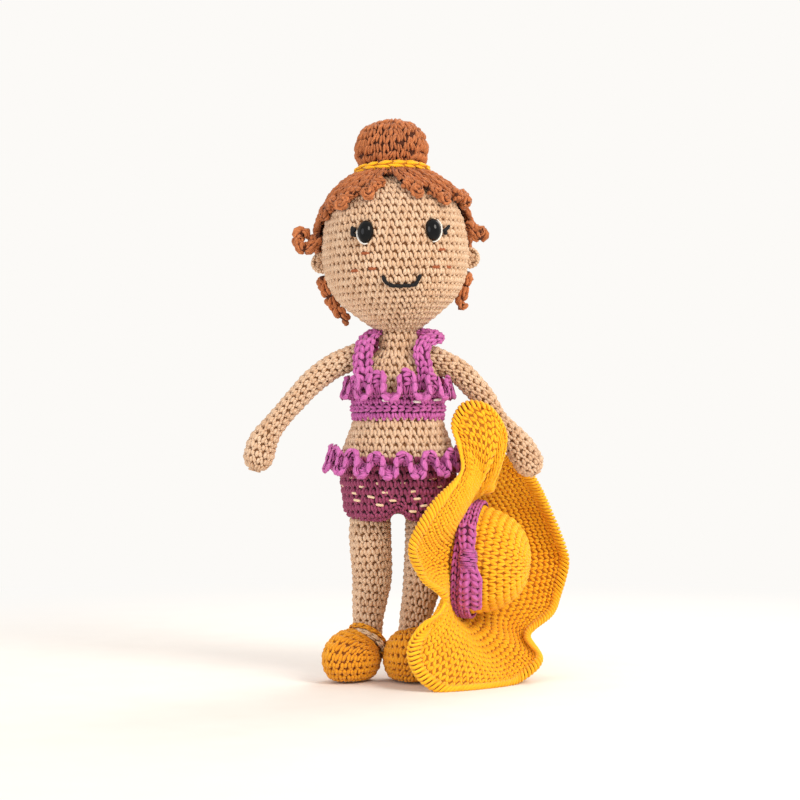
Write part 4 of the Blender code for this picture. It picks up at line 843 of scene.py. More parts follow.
# running stitches, as x, z of their middles in millimetres and their slope in degrees
runs = {
    "cream": ((-21.1, 95.5, -8), (-9.2, 93.0, -4), (2.8, 93.2, 3), (16.1, 95.1, 10),
              (24.6, 97.1, 14), (-25.2, 91.8, -60), (-16.5, 91.4, -8), (-6.0, 88.9, -3),
              (6.5, 89.3, 4), (18.9, 91.4, 10), (-19.8, 88.3, -9), (-12.4, 86.8, -14),
              (-2.3, 85.2, -2), (8.8, 85.9, 3), (-18.8, 85.0, -8), (-8.4, 83.1, -8),
              (12.0, 82.7, 5), (6.9, 80.1, -4)),
    "white": ((-17.3, 132.3, 4), (-5.6, 131.2, -3), (8.8, 130.6, -4), (18.4, 131.6, 8)),
}
run = {"half": 0.0018, "proud": (0.0018, 0.0026, 0.0018), "seat": 0.0020, "radius": 0.00062}


def makeRuns(name, yarn, slot):
    lines = []
    for x, z, slope in runs[yarn]:
        radius = np.interp(-z / 1000, -torsoProfile[:, 1], torsoProfile[:, 0]) + run["seat"]
        along = np.array((math.cos(math.radians(slope)), math.sin(math.radians(slope))))
        line = []
        for share, proud in zip((-1, 0, 1), run["proud"]):
            spotX, spotZ = np.array((x, z)) / 1000 + along * share * run["half"]
            turn = math.asin(max(-0.99, min(0.99, spotX / radius)))
            line.append(onTorso(turn, spotZ, proud))
        lines.append(line)
    makeThread(name, lines, run["radius"], yarn, slot, body="torso")


# ruffles: the free edge winds in round loops with steep sides, by a rise and a drop about the
# seam's level; the side values set how the sides of the body differ from its front
ruffles = {
    "topRuffle": {
        "node": "top_ruffle", "under": "top_band", "base": 0.1340, "rise": 0.0110,
        "drop": 0.0026, "flare": 0.0056, "folds": 12, "side": 0.70, "sideRise": 0.0,
        "sideHold": 0.5, "phase": 0.29, "sway": 0.22},
    "shortsRuffle": {
        "node": "shorts_ruffle", "under": "shorts", "base": 0.1012, "rise": 0.0060,
        "drop": 0.0058, "flare": 0.0070, "folds": 16, "side": 1.0, "sideRise": 0.0030,
        "sideHold": 0.0, "phase": 0.20, "sway": 0.24},
}
# a row of tall stitches, and two rows of chain that lie along the free edge as a thick rope
ruffleKnit = {"thickness": 0.0005, "curve": 1.3, "breathe": 0.2, "bands": (
    {"stitch": "tall", "width": 0.0027, "rows": 1, "span": (0.0, 0.50), "depth": 0.0010,
     "lift": 0.0, "lean": 0.5, "seed": 71},
    {"stitch": "chain", "width": 0.0048, "rows": 2, "span": (0.42, 1.10), "depth": 0.0016,
     "lift": 0.0, "lean": 0.5, "wild": 0.08, "seed": 72})}


def ruffleGrid(plan, steps, columnsEach):
    folds = plan["folds"]
    azimuths = roundGrid(folds * columnsEach)
    besides = np.sin(azimuths) ** 2
    shares = np.linspace(0, 1, steps)[:, None]
    turn = folds * azimuths - 2 * math.pi * plan["phase"]
    wave = np.cos(turn)
    sway = plan["sway"] * np.sin(2 * turn) * shares * math.pi / folds
    size = plan["side"] + (1 - plan["side"]) * np.cos(azimuths) ** 2
    middle = (plan["rise"] - plan["drop"]) / 2 * size
    swing = (plan["rise"] + plan["drop"]) / 2 * size
    level = plan["base"] + plan["sideRise"] * besides
    level = level + shares ** ruffleKnit["curve"] * (middle + swing * wave)
    seat = 2 * clothes["gap"] + clothes["thick"] + clothes["wall"] / 2
    flare = plan["flare"] * (1 - plan["sideHold"] * besides)
    lift = seat + flare * shares * (1 - ruffleKnit["breathe"] * wave)
    return onTorso(azimuths + sway, level, lift)


def makeRuffle(name):
    plan = ruffles[name]
    grid = evenRows(ruffleGrid(plan, 24, 24), 24)
    surface = makeSurface(grid)
    cloth = makeSheet(name + "Cloth", surface, "orchid", ruffleKnit["thickness"])
    piece = newPiece()
    for part in ruffleKnit["bands"]:
        layStitches(piece, surface, part)
    stitched = finishPiece(name + "Knit", piece, [yarns["orchid"]])
    declare(cloth, "torso", "orchid_yarn", plan["node"])
    declare(stitched, "torso", "orchid_yarn")


# straps, as places in millimetres from the band's front edge over the shoulder to its back
straps = {
    "right": {"width": 0.0092, "path": (
        (-15.3, -15.5, 136), (-16, -14.5, 145), (-16.3, -12, 152), (-14.6, -8.5, 159.5),
        (-11.8, -3.5, 162.5), (-11, 2, 162.8), (-12.5, 8, 161), (-14.5, 12, 152),
        (-15, 15, 144), (-15, 16, 136))},
    "left": {"width": 0.0068, "path": (
        (12.2, -15.5, 136), (12.5, -15.5, 146), (10.8, -14, 153), (13, -11.5, 158.5),
        (18, -8, 160.5), (17, -3, 162.5), (11.5, 0, 163), (11, 4, 162), (13, 10, 156),
        (14.5, 14, 146), (15, 16, 136))},
}
# a strap faces away from a heart line inside the body: its share of the sideways place, its
# highest level, and how far it lies under the strap
strapForm = {"thick": 0.0026, "sideShare": 0.6, "highest": 0.1520, "below": 0.0064,
             "knit": {"stitch": "chain", "width": 0.0036, "rows": 5, "depth": 0.0014,
                      "lift": -0.0003, "lean": 0.5, "wild": 0.14, "seed": 81,
                      "yarn": "orchid", "back": -0.0004}}


def makeStrap(name):
    path = smoothRows(np.array(straps[name]["path"]) / 1000, 70)
    ahead = unitRows(np.gradient(path, axis=0))
    heart = np.stack([strapForm["sideShare"] * path[:, 0], np.zeros(70),
                      np.minimum(path[:, 2], strapForm["highest"]) - strapForm["below"]], axis=1)
    across = unitRows(np.cross(ahead, unitRows(path - heart)))
    flat = makeSurface(ringsAlong(path, across, np.cross(across, ahead), 24,
                                  straps[name]["width"] / 2, strapForm["thick"] / 2))
    made = knit("strapKnit" + name.title(), onItsSide(flat, [*range(24), 0]),
                strapForm["knit"], behind=flat)
    declare(made, "torso", "orchid_yarn", "strap_" + name)


# arms and legs, as stations outwards and upwards from the root in shares of their reach
armForm = {"reach": 0.0460, "girth": 0.0058,
           "radii": (1.04, 1.02, 1.0, 0.95, 0.90, 0.97, 1.20, 1.24)}
legForm = {"reach": 0.0665, "girth": 0.0094, "ball": 0.0098}
limbs = {
    "arm_right": {**armForm, "root": (-0.0195, 0, 0.1520), "side": -1,
                  "shares": ((0.0, 0.0), (0.228, -0.098), (0.435, -0.250), (0.576, -0.396),
                             (0.735, -0.574), (0.870, -0.739), (0.957, -0.880),
                             (1.0, -1.022))},
    "arm_left": {**armForm, "root": (0.0195, 0, 0.1495), "side": 1,
                 "shares": ((0.0, 0.0), (0.185, -0.098), (0.315, -0.217), (0.465, -0.393),
                            (0.576, -0.587), (0.707, -0.728), (0.815, -0.870),
                            (0.905, -1.020))},
    "leg_right": {**legForm, "root": (-0.0126, 0, 0.0775), "side": -1,
                  "shares": ((0.0, 0.0), (0.008, -0.10), (0.003, -0.24), (-0.006, -0.44),
                             (0.010, -0.60), (0.022, -0.72), (0.025, -0.81), (0.044, -0.90),
                             (0.066, -1.0)),
                  "radii": (0.99, 1.05, 1.04, 0.99, 0.88, 0.78, 0.74, 0.73, 0.70)},
    "leg_left": {**legForm, "root": (0.0126, 0, 0.0775), "side": 1,
                 "shares": ((0.0, 0.0), (0.010, -0.10), (0.004, -0.24), (-0.014, -0.44),
                            (-0.040, -0.60), (-0.068, -0.72), (-0.080, -0.81),
                            (-0.090, -0.90), (-0.100, -1.0)),
                 "radii": (0.99, 1.05, 1.03, 0.98, 0.87, 0.78, 0.74, 0.73, 0.70)},
}
# the arm's first rounds, inside the shoulder: how far back, and their radius
armTucks = ((0.0085, 0.0022), (0.0078, 0.0042), (0.0055, 0.0054), (0.0025, 0.0059))
limbKnit = {**singleBody, "width": 0.0040, "height": 0.0036, "lean": 0.40, "least": 9,
            "seed": 90, "yarn": "skin", "back": -0.0014}
inShoe = 0.0165   # under this level the legs' stitches are left out


def makeLimb(name):
    limb = limbs[name]
    rows = smoothRows([(*(np.array(limb["root"]) + limb["reach"] * np.array(
        (limb["side"] * x, 0, z))), limb["girth"] * r)
        for (x, z), r in zip(limb["shares"], limb["radii"])], 60)
    first = unitRows(rows[1, :3] - rows[0, :3])
    last = unitRows(rows[-1, :3] - rows[-2, :3])
    if name.startswith("arm"):
        stations = [(*(rows[0, :3] - first * back), radius) for back, radius in armTucks]
    else:
        stations = [(*(rows[0, :3] + first * limb["ball"] * math.sin(angle)),
                     limb["ball"] * math.cos(angle))
                    for angle in np.radians(np.linspace(-60, 0, 8)[:-1])]
    stations += list(rows[:-1])
    stations += [(*(rows[-1, :3] + last * rows[-1, 3] * math.sin(angle)),
                  rows[-1, 3] * math.cos(angle)) for angle in np.radians(np.linspace(0, 88, 10))]
    path = smoothRows(stations, 120)
    surface = tubeSurface(path[:, :3], path[:, 3], 60, upright=(0, 1, 0))
    shown = (lambda at: at[:, 2] > inShoe) if name.startswith("leg") else None
    look = {**limbKnit, "seed": limbKnit["seed"] + len(name)}
    declare(knit(camel(name) + "Skin", surface, look, keep=shown), name, "skin_yarn",
            name + "_shell", name + "_stuffing", fill=0.85)


# shoes; the ankle cord lies on the instep, its inner side lower, over the foot's linen band
shoe = {"halfWidth": 0.0120, "halfLength": 0.0180, "middle": 0.0110, "rise": 0.0135,
        "sole": 0.0012, "soleEdge": 0.0014, "toeShift": 0.0065, "opening": 0.0074,
        "ankleLevel": 0.0270,
        "place": {"right": -0.0183, "left": 0.0039},
        "toeTurn": {"right": math.radians(-30.0), "left": math.radians(12.0)},
        "knit": {**singleBody, "width": 0.0038, "height": 0.0033, "depth": 0.0012,
                 "lift": -0.0007, "seed": 101, "yarn": "shoe", "back": -0.0010},
        "cordLevel": {"right": 0.0200, "left": 0.0190}, "cordReach": (0.0086, 0.0093),
        "cordTilt": {"right": math.radians(24.0), "left": math.radians(8.0)},
        "cordRaise": math.radians(35.0), "cordRadius": 0.0012,
        "bandGrow": -0.0003, "bandShift": (0, -0.0012, -0.0026), "bandRadius": 0.0014}


def makeShoe(name):
    limb = limbs["leg_" + name]
    drop = (limb["root"][2] - shoe["ankleLevel"]) / limb["reach"]
    ankle = limb["root"][0] + limb["side"] * limb["reach"] * np.interp(
        drop, [-z for _, z in limb["shares"]], [x for x, _ in limb["shares"]])
    turn = np.array(Matrix.Rotation(shoe["toeTurn"][name], 3, "Z"))
    heel = np.array((shoe["place"][name], 0, 0))
    toe = np.array((0, shoe["toeShift"], 0))
    azimuths = roundGrid(110)

    def oval(size, level):
        return aroundAxis(azimuths, shoe["halfWidth"] * size, shoe["halfLength"] * size, level)

    hole = aroundAxis(azimuths, shoe["opening"], shoe["opening"], 0.0) + (ankle, 0, 0)
    hole = (hole - heel) @ turn + toe
    flatSize = math.cos(math.asin(shoe["middle"] / shoe["rise"]))
    lowest = math.asin((shoe["middle"] - shoe["soleEdge"]) / shoe["rise"])
    rows = [oval(flatSize * share, shoe["sole"] - shoe["middle"])
            for share in np.linspace(0.15, 1, 14)]
    rows += [oval(math.cos(angle), shoe["rise"] * math.sin(angle))
             for angle in np.linspace(-lowest, 0, 16)[1:]]
    rim = rows[-1]
    for share in np.linspace(0, 1, 30)[1:]:
        upper = rim + (hole - rim) * (1 - math.cos(share * math.pi / 2))
        inside = (1 - (upper[:, 0] / shoe["halfWidth"]) ** 2
                  - (upper[:, 1] / shoe["halfLength"]) ** 2)
        upper[:, 2] = shoe["rise"] * np.sqrt(np.maximum(inside, 0))
        rows.append(upper)
    grid = np.array(rows) - toe + (0, 0, shoe["middle"])
    surface = makeSurface(evenRows(grid @ turn.T + heel, 70))
    declare(knit("shoeKnit" + name.title(), surface, shoe["knit"]), "leg_" + name,
            "shoe_yarn", "shoe_" + name, fill=0.6)
    turns = np.linspace(0, 2 * math.pi, 121)
    tilt, lifted = shoe["cordTilt"][name], shoe["cordRaise"]

    def instepLoop(grow, shift):
        x = (shoe["cordReach"][0] + grow) * np.sin(turns)
        y = -(shoe["cordReach"][1] + grow) * np.cos(turns)
        ring = np.stack([x * math.cos(tilt), y * math.cos(lifted),
                         limb["side"] * x * math.sin(tilt) - y * math.sin(lifted)], axis=-1)
        return ring + np.array((ankle, 0, shoe["cordLevel"][name])) + np.array(shift)

    declare(makeChain("ankleCord" + name.title(), instepLoop(0.0, (0, 0, 0)),
                      shoe["cordRadius"], "shoe", 9),
            "leg_" + name, "shoe_yarn", "shoe_strap_" + name)
    declare(makeChain("footBand" + name.title(),
                      instepLoop(shoe["bandGrow"], shoe["bandShift"]), shoe["bandRadius"],
                      "linen", 9), "leg_" + name, "skin_yarn")


# hat; the band of stitches lies a little lower on the crown than the bow
hat = {"middle": np.array((0.0286, 0.0080, 0.0570)), "turn": math.radians(11.0),
       "rise": math.radians(-6.0), "crownRadius": 0.0265, "crownDepth": 0.0344,
       "crownWall": 0.0028, "brimMiddle": np.array((0.0360, 0.0080, 0.0572)),
       "brimReach": 0.0745, "overlap": 0.0010,
       "crownShares": ((0.0, 1.0), (0.30, 0.975), (0.56, 0.89), (0.76, 0.745), (0.89, 0.56),
                       (0.965, 0.33), (1.0, 0.0)),
       "crownKnit": {"stitch": "broad", "width": 0.0032, "height": 0.0038, "depth": 0.0015,
                     "lift": 0.0, "lean": 0.5, "seed": 121, "yarn": "yellow", "back": 0.0,
                     "closeEnds": False},
       "brimThickness": 0.0009,
       "brimKnit": {"stitch": "broad", "width": 0.0036, "rows": 14, "span": (0.02, 0.96),
                    "depth": 0.0015, "lift": 0.0, "lean": 0.42, "seed": 111},
       "bandWidth": 0.0110, "ringWidth": 0.0088, "ringDrop": 0.0030, "bandWall": 0.0018,
       "bandLevel": 0.0034,
       "bandKnit": {"stitch": "chain", "width": 0.0036, "rows": 3, "depth": 0.0010,
                    "lift": -0.0006, "seed": 131, "yarn": "orchid", "back": -0.0011,
                    "closeEnds": False}}
hatAxis = np.array((math.cos(hat["turn"]) * math.cos(hat["rise"]),
                    -math.sin(hat["turn"]) * math.cos(hat["rise"]), math.sin(hat["rise"])))
hatNear = np.array((-math.sin(hat["turn"]), -math.cos(hat["turn"]), 0.0))
hatUp = np.cross(hatNear, hatAxis)
# the brim by its turn in degrees: its middle and its edge along the hat's axis, to the side
# and up, in shares of its reach
brimShares = (
    (0.0, (-0.329, -0.510, -0.023), (-0.349, -0.711, -0.030)),
    (12.0, (-0.309, -0.523, 0.098), (-0.399, -0.725, 0.123)),
    (25.0, (-0.201, -0.550, 0.226), (-0.283, -0.671, 0.349)),
    (36.0, (-0.081, -0.483, 0.387), (-0.076, -0.456, 0.568)),
    (43.0, (0.004, -0.383, 0.534), (-0.110, -0.338, 0.742)),
    (48.0, (0.034, -0.369, 0.615), (-0.134, -0.282, 0.856)),
    (54.0, (0.081, -0.369, 0.682), (-0.067, -0.255, 0.970)),
    (60.0, (0.121, -0.336, 0.695), (0.054, -0.262, 0.964)),
    (66.0, (0.121, -0.302, 0.588), (0.165, -0.262, 0.821)),
    (73.0, (0.067, -0.228, 0.454), (0.148, -0.239, 0.628)),
    (81.0, (0.034, -0.114, 0.413), (0.107, -0.134, 0.454)),
    (88.0, (0.054, 0.000, 0.413), (0.121, -0.013, 0.454)),
    (96.0, (0.081, 0.081, 0.474), (0.174, 0.067, 0.615)),
    (108.0, (0.134, 0.148, 0.474), (0.268, 0.081, 0.628)),
    (122.0, (0.174, 0.228, 0.427), (0.376, 0.134, 0.507)),
    (140.0, (0.268, 0.376, 0.286), (0.485, 0.295, 0.307)),
    (165.0, (0.336, 0.470, 0.085), (0.591, 0.403, 0.064)),
    (180.0, (0.362, 0.490, -0.036), (0.623, 0.430, -0.078)),
    (200.0, (0.336, 0.443, -0.211), (0.564, 0.376, -0.285)),
    (215.0, (0.309, 0.362, -0.325), (0.510, 0.268, -0.388)),
    (235.0, (0.228, 0.215, -0.459), (0.349, 0.054, -0.499)),
    (250.0, (0.228, -0.013, -0.560), (0.409, -0.215, -0.627)),
    (265.0, (0.134, -0.148, -0.627), (0.255, -0.336, -0.748)),
    (280.0, (0.047, -0.268, -0.620), (0.107, -0.483, -0.764)),
    (295.0, (-0.054, -0.383, -0.566), (-0.081, -0.617, -0.764)),
    (308.0, (-0.148, -0.463, -0.519), (-0.242, -0.685, -0.757)),
    (320.0, (-0.221, -0.490, -0.432), (-0.376, -0.685, -0.647)),
    (330.0, (-0.235, -0.503, -0.325), (-0.397, -0.658, -0.475)),
    (342.0, (-0.195, -0.470, -0.184), (-0.190, -0.550, -0.244)),
    (352.0, (-0.248, -0.503, -0.090), (-0.322, -0.671, -0.097)),
)
def brimGrid(steps, partsEach):
    turns = [math.radians(row[0]) for row in brimShares] + [2 * math.pi]
    count = len(brimShares)
    radius = hat["crownRadius"] - hat["overlap"]
    t = np.linspace(0, 1, steps)[:, None]
    columns = []
    for k in range(count):
        for part in np.linspace(0, 1, partsEach, endpoint=False):
            angle = turns[k] + (turns[k + 1] - turns[k]) * part
            start = hat["middle"] + radius * (hatNear * math.cos(angle)
                                              + hatUp * math.sin(angle))
            middle, edge = (hat["brimMiddle"] + hat["brimReach"] * curveBetween(
                *(np.array(brimShares[(k + j) % count][column]) for j in (-1, 0, 1, 2)), part)
                for column in (1, 2))
            columns.append(start * ((1 - t) * (1 - 2 * t)) + middle * (4 * t * (1 - t))
                           + edge * (t * (2 * t - 1)))
    return np.array(columns).transpose(1, 0, 2)


def makeBrim():
    grid = brimGrid(40, 10)
    surface = makeSurface(grid, side=1)
    cloth = makeSheet("brimCloth", surface, "yellow", hat["brimThickness"])
    piece = newPiece()
    layStitches(piece, surface, hat["brimKnit"])
    layEdging(piece, surface)
    stitched = finishPiece("brimKnit", piece, [yarns["yellow"]])
    declare(cloth, "hat", "yellow_yarn", "hat_brim")
    declare(stitched, "hat", "yellow_yarn")


# long slanting loops drawn over the brim's edge; a loop's places are inwards and outwards, in
# millimetres
edging = {"pitch": 0.0021, "strand": 0.00082, "slant": 0.0023, "sides": 6, "seed": 17,
          "tip": 0.6, "uneven": 0.05, "from": 0.97,
          "loop": ((4.6, 0.9), (3.0, 1.35), (1.2, 1.3), (-0.4, 0.8), (-0.8, 0.0),
                   (-0.4, -0.8), (1.2, -1.3), (3.0, -1.35), (4.6, -0.9))}


def layEdging(piece, surface):
    fine = np.linspace(0, 1, 1500)
    rim, normal = sample(surface, fine, np.ones_like(fine))
    inner, _ = sample(surface, fine, np.full_like(fine, edging["from"]))
    along = lengthsAlong(rim)
    count = round(along[-1] / edging["pitch"])
    rings, sides = len(edging["loop"]), edging["sides"]
    faces, corners = [], []
    for j in range(rings - 1):
        for i in range(sides):
            a, b = j * sides + i, j * sides + (i + 1) % sides
            faces.append((a, b, b + sides, a + sides))
            u, w = i / sides, (i + 1) / sides
            corners += [(u, j / rings), (w, j / rings), (w, (j + 1) / rings),
                        (u, (j + 1) / rings)]
    faces.append(tuple(range(sides))[::-1])
    faces.append(tuple(range((rings - 1) * sides, rings * sides)))
    corners = np.array(corners + [(0, 0)] * (2 * sides))
    dice = np.random.default_rng(edging["seed"])
    for k in range(count):
        u = np.interp((k + 0.5) * along[-1] / count, along, fine)
        place, back, out = (np.array([np.interp(u, fine, c) for c in line.T])
                            for line in (rim, inner, normal))
        inward = unitRows(back - place)
        ahead = unitRows(np.cross(unitRows(out), -inward))
        out = np.cross(-inward, ahead)
        line = [place + inward * a / 1000 + out * b / 1000
                + ahead * edging["slant"] * (4 - j) / 4
                for j, (a, b) in enumerate(edging["loop"])]
        course = unitRows(np.gradient(np.array(line), axis=0))
        thick = edging["strand"] * (1 + dice.normal(0, edging["uneven"]))
        points = []
        for j in range(rings):
            across = unitRows(np.cross(course[j], ahead))
            beside = np.cross(across, course[j])
            size = thick * (edging["tip"] if j in (0, rings - 1) else 1.0)
            points += [line[j] + across * size * math.cos(a) + beside * size * math.sin(a)
                       for a in roundGrid(sides)]
        addMesh(piece, np.array(points), faces, corners, np.full(len(points), dice.random()), 0)


crownProfile = profileOf(hat["crownShares"], hat["crownRadius"], hat["crownDepth"], 80)


def crownSurface(profile):
    angles = roundGrid(150)[:, None]
    ring = hatNear * np.cos(angles) + hatUp * np.sin(angles)
    return makeSurface(hat["middle"] + ring[None] * profile[:, 0][:, None, None]
                       + hatAxis * profile[:, 1][:, None, None])


def makeCrown():
    slope = unitRows(np.gradient(crownProfile, axis=0))
    middle = crownProfile + hat["crownWall"] / 2 * np.column_stack([slope[:, 1], -slope[:, 0]])
    middle[:, 0] = np.maximum(middle[:, 0], 0)
    declare(knit("crownKnit", crownSurface(middle), hat["crownKnit"]), "hat", "yellow_yarn",
            "hat_crown")


def crownAt(level, lift):
    return np.interp(-np.asarray(level, float), -crownProfile[:, 1], crownProfile[:, 0]) + lift


def makeHatBand():
    middle = hat["bandLevel"] + hat["bandWidth"] / 2 - hat["ringDrop"]
    levels = middle + np.linspace(hat["ringWidth"] / 2, -hat["ringWidth"] / 2, 20)
    surface = crownSurface(np.column_stack([
        crownAt(levels, clothes["gap"] + hat["bandWall"]), levels]))
    declare(knit("hatBandKnit", surface, hat["bandKnit"]), "hat", "orchid_yarn", "hat_band")


# the bow follows the crown; its two parts, before and after the knot, have their own widths
# and swerves
bow = {"thick": 0.0026, "spread": math.radians(42.0), "middle": math.radians(5.0),
       "waist": 0.62, "pinch": 2.2, "endRound": (3.2, 0.35), "widths": (0.74, 0.96),
       "thickShares": (0.7, 0.55), "swerve": (0.0034, 0.0024, 2.5), "parting": (0.8, 0.0, 0.22),
       "partingRate": 3, "knot": -0.22, "knotLength": 0.0100, "knotProud": 0.0052,
       "knotWidth": 0.41, "knotRound": 0.6,
       "knit": {"stitch": "chain", "width": 0.0036, "rows": 4, "depth": 0.0012,
                "lift": -0.0004, "seed": 141, "yarn": "orchid", "back": -0.0006},
       "knotKnit": {"stitch": "chain", "width": 0.0085, "rows": 7, "depth": 0.0009,
                    "lift": -0.0003, "lean": 0.4, "seed": 151, "yarn": "orchid",
                    "back": -0.0008}}


def makeBow():
    level = hat["bandLevel"] + hat["bandWidth"] / 2
    seat = 2 * clothes["gap"] + hat["bandWall"]
    turn = roundGrid(28)
    rings = []
    for share in np.linspace(-0.995, 0.995, 60):
        # angles run downwards from the near side, as the bow was laid
        angle = bow["middle"] + bow["spread"] * share
        around = hatNear * math.cos(angle) - hatUp * math.sin(angle)
        past = share - bow["knot"]
        pinch = bow["waist"] + (1 - bow["waist"]) * min(abs(past) * bow["pinch"], 1.0)
        steep, least = bow["endRound"]
        end = min(1.0, steep * math.sqrt(1.0 - abs(share)) + least)
        halfWidth = hat["bandWidth"] / 2 * pinch * end * bow["widths"][0 if past < 0 else 1]
        atWaist, atEnd = bow["thickShares"]
        halfThick = bow["thick"] / 2 * (atWaist + (1 - atWaist) * pinch) * (
            atEnd + (1 - atEnd) * end)
        before, after, rate = bow["swerve"]
        swerve = before * min(0.0, past) + after * min(1.0, rate * max(0.0, past))
        height = level + swerve + halfWidth * np.cos(turn)
        parting = max(0.0, min(1.0, past * bow["partingRate"])) * bulge(
            np.cos(turn), *bow["parting"])
        radius = crownAt(height, seat) + halfThick * (1 + np.sin(turn) * (1 - parting))
        rings.append(hat["middle"] + around * radius[:, None] + hatAxis * height[:, None])
    flat = makeSurface(rings)
    made = knit("bowKnit", onItsSide(flat, [*range(28), 0]), bow["knit"], behind=flat)
    declare(made, "hat", "orchid_yarn", "hat_bow")
    # strands wound crosswise over the bow: rings round its long way
    turn, rise = roundGrid(60)[:, None], np.linspace(-math.pi / 2, math.pi / 2, 40)
    tied = bow["middle"] + bow["spread"] * bow["knot"]
    around = hatNear * math.cos(tied) - hatUp * math.sin(tied)
    along = -hatNear * math.sin(tied) - hatUp * math.cos(tied)
    middle = hat["middle"] + around * crownAt(level, seat) + hatAxis * level
    rows = [middle + around * (bow["knotProud"] * math.cos(b) * np.cos(turn))
            + hatAxis * (hat["bandWidth"] * bow["knotWidth"] * math.cos(b) ** bow["knotRound"]
                         * np.sin(turn)) + along * bow["knotLength"] / 2 * math.sin(b)
            for b in rise]
    declare(knit("bowKnotWrap", makeSurface(rows), bow["knotKnit"]), "hat", "orchid_yarn",
            "hat_bow_knot")


# face; places are millimetres to the doll's left and above the base of the head, as x, z
face = {
    "eyeWidth": 0.0076, "eyeHeight": 0.0106, "eyeDepth": 0.0036,
    "turns": {"right": math.radians(-25.2), "left": math.radians(27.8)},
    "level": 0.0449, "threadRadius": 0.00082, "whiteRadius": 0.00045, "mouthRadius": 0.00090,
    "freckleRadius": 0.00078,
    "seat": 0.0003, "whiteGap": 0.0002, "whiteLift": 1.2, "mouthLift": 0.8,
    "freckleLift": -0.0005,
    "whites": {"right": (168, 282), "left": (62, -92)},
    "lashes": {
        "right": (((-20.9, 47.8), (-20.9, 43.1)), ((-19.3, 47.1), (-20.9, 44.5)),
                  ((-20.4, 44.3), (-19.1, 43.0))),
        "left": (((20.3, 44.3), (22.0, 45.0), (23.7, 47.1)), ((21.0, 43.3), (22.6, 43.6))),
    },
    "mouth": (((-6.9, 24.8), (-5.9, 22.4), (-4.2, 20.7)), ((-4.5, 20.9), (-1.0, 19.9)),
              ((-1.5, 20.4), (2.4, 19.7)), ((1.9, 20.3), (6.2, 19.9)),
              ((5.6, 20.2), (7.8, 20.6), (9.3, 22.3)), ((9.0, 22.0), (10.4, 24.9))),
    "freckles": (((-16.8, 35.3), (-13.0, 35.1)), ((-21.6, 27.6), (-17.7, 27.5)),
                 ((-13.4, 28.1), (-9.9, 28.0)), ((18.3, 36.1), (21.8, 36.1)),
                 ((15.7, 28.0), (19.2, 28.0)), ((22.0, 28.1), (24.4, 28.1))),
}


def onFace(x, z, lift):
    radius = np.interp(-z, -headProfile[:, 1], headProfile[:, 0])
    x = x + z * math.sin(head["tilt"])
    return onHead(math.asin(x / (radius + lift)) - head["turn"], z, lift)


def faceLines(lines, lift):
    return [[onFace(x / 1000, z / 1000, lift) for x, z in line] for line in lines]


def eyePlastic():
    # ABS safety eye, moulded and polished: near black with sharp soft-box reflections, and a
    # faint moulding swirl of about 2 mm in the depth of the black
    material, tree, shader = newMaterial("polished black ABS")
    swirl = noiseOver(tree, objectPlace(tree), 0.0020, 2.0)
    wire(tree, shader, {
        "Base Color": mixedColour(tree, swirl, linear("#050506"), linear("#101112")),
        "Roughness": 0.06, "IOR": 1.46, "Specular IOR Level": 0.20})
    return material


eyeMaterial = eyePlastic()


def makeEye(name):
    azimuth, level = face["turns"][name], face["level"]
    seat = onHead(azimuth, level, face["seat"])
    out = Vector(onHead(azimuth, level, 0.002) - seat).normalized()
    deselect()
    bpy.ops.mesh.primitive_uv_sphere_add(segments=48, ring_count=24, radius=1)
    eye = bpy.context.object
    eye.name = "eyeDome" + name.title()
    eye.data.name = eye.name
    bpy.ops.object.mode_set(mode="EDIT")
    bpy.ops.mesh.select_all(action="SELECT")
    bpy.ops.mesh.bisect(plane_co=(0, 0, 0.0), plane_no=(0, 0, 1), use_fill=True, clear_inner=True)
    bpy.ops.mesh.select_all(action="SELECT")
    bpy.ops.transform.resize(value=(face["eyeWidth"] / 2, face["eyeHeight"] / 2,
                                    face["eyeDepth"]), center_override=(0, 0, 0))
    bpy.ops.object.mode_set(mode="OBJECT")
    facing = out.to_track_quat("Z", "Y").to_matrix().to_4x4()
    eye.data.transform(Matrix.Translation(Vector(seat + dollPlace)) @ facing)
    eye.data.materials.append(eyeMaterial)
    eye.data.shade_smooth()
    deselect()
    eye.select_set(True)
    bpy.context.view_layer.objects.active = eye
    bpy.ops.object.shade_smooth_by_angle(angle=math.radians(40))
    declare(eye, "head", "black_plastic", "eye_" + name)
    reachX, reachZ = (face[size] / 2 + face["whiteGap"] for size in ("eyeWidth", "eyeHeight"))
    middleX = math.sin(azimuth + head["turn"]) * head["radius"] - level * math.sin(head["tilt"])
    arc = [onFace(middleX + reachX * math.cos(angle), level + reachZ * math.sin(angle),
                  face["whiteRadius"] * face["whiteLift"])
           for angle in np.radians(np.linspace(*face["whites"][name], 9))]
    makeThread("eyeWhite" + name.title(), [arc], face["whiteRadius"], "white", "white_thread",
               "eye_white_" + name)
    makeThread("lashes" + name.title(), faceLines(face["lashes"][name], face["threadRadius"]),
               face["threadRadius"], "black", "black_thread", "lashes_" + name)


# one stitch of thread: its points, its sides, and how thin its ends are and how soon it is full
thread = {"points": 16, "sides": 12, "tip": 0.45, "fullness": 3.2, "uvLength": 2}


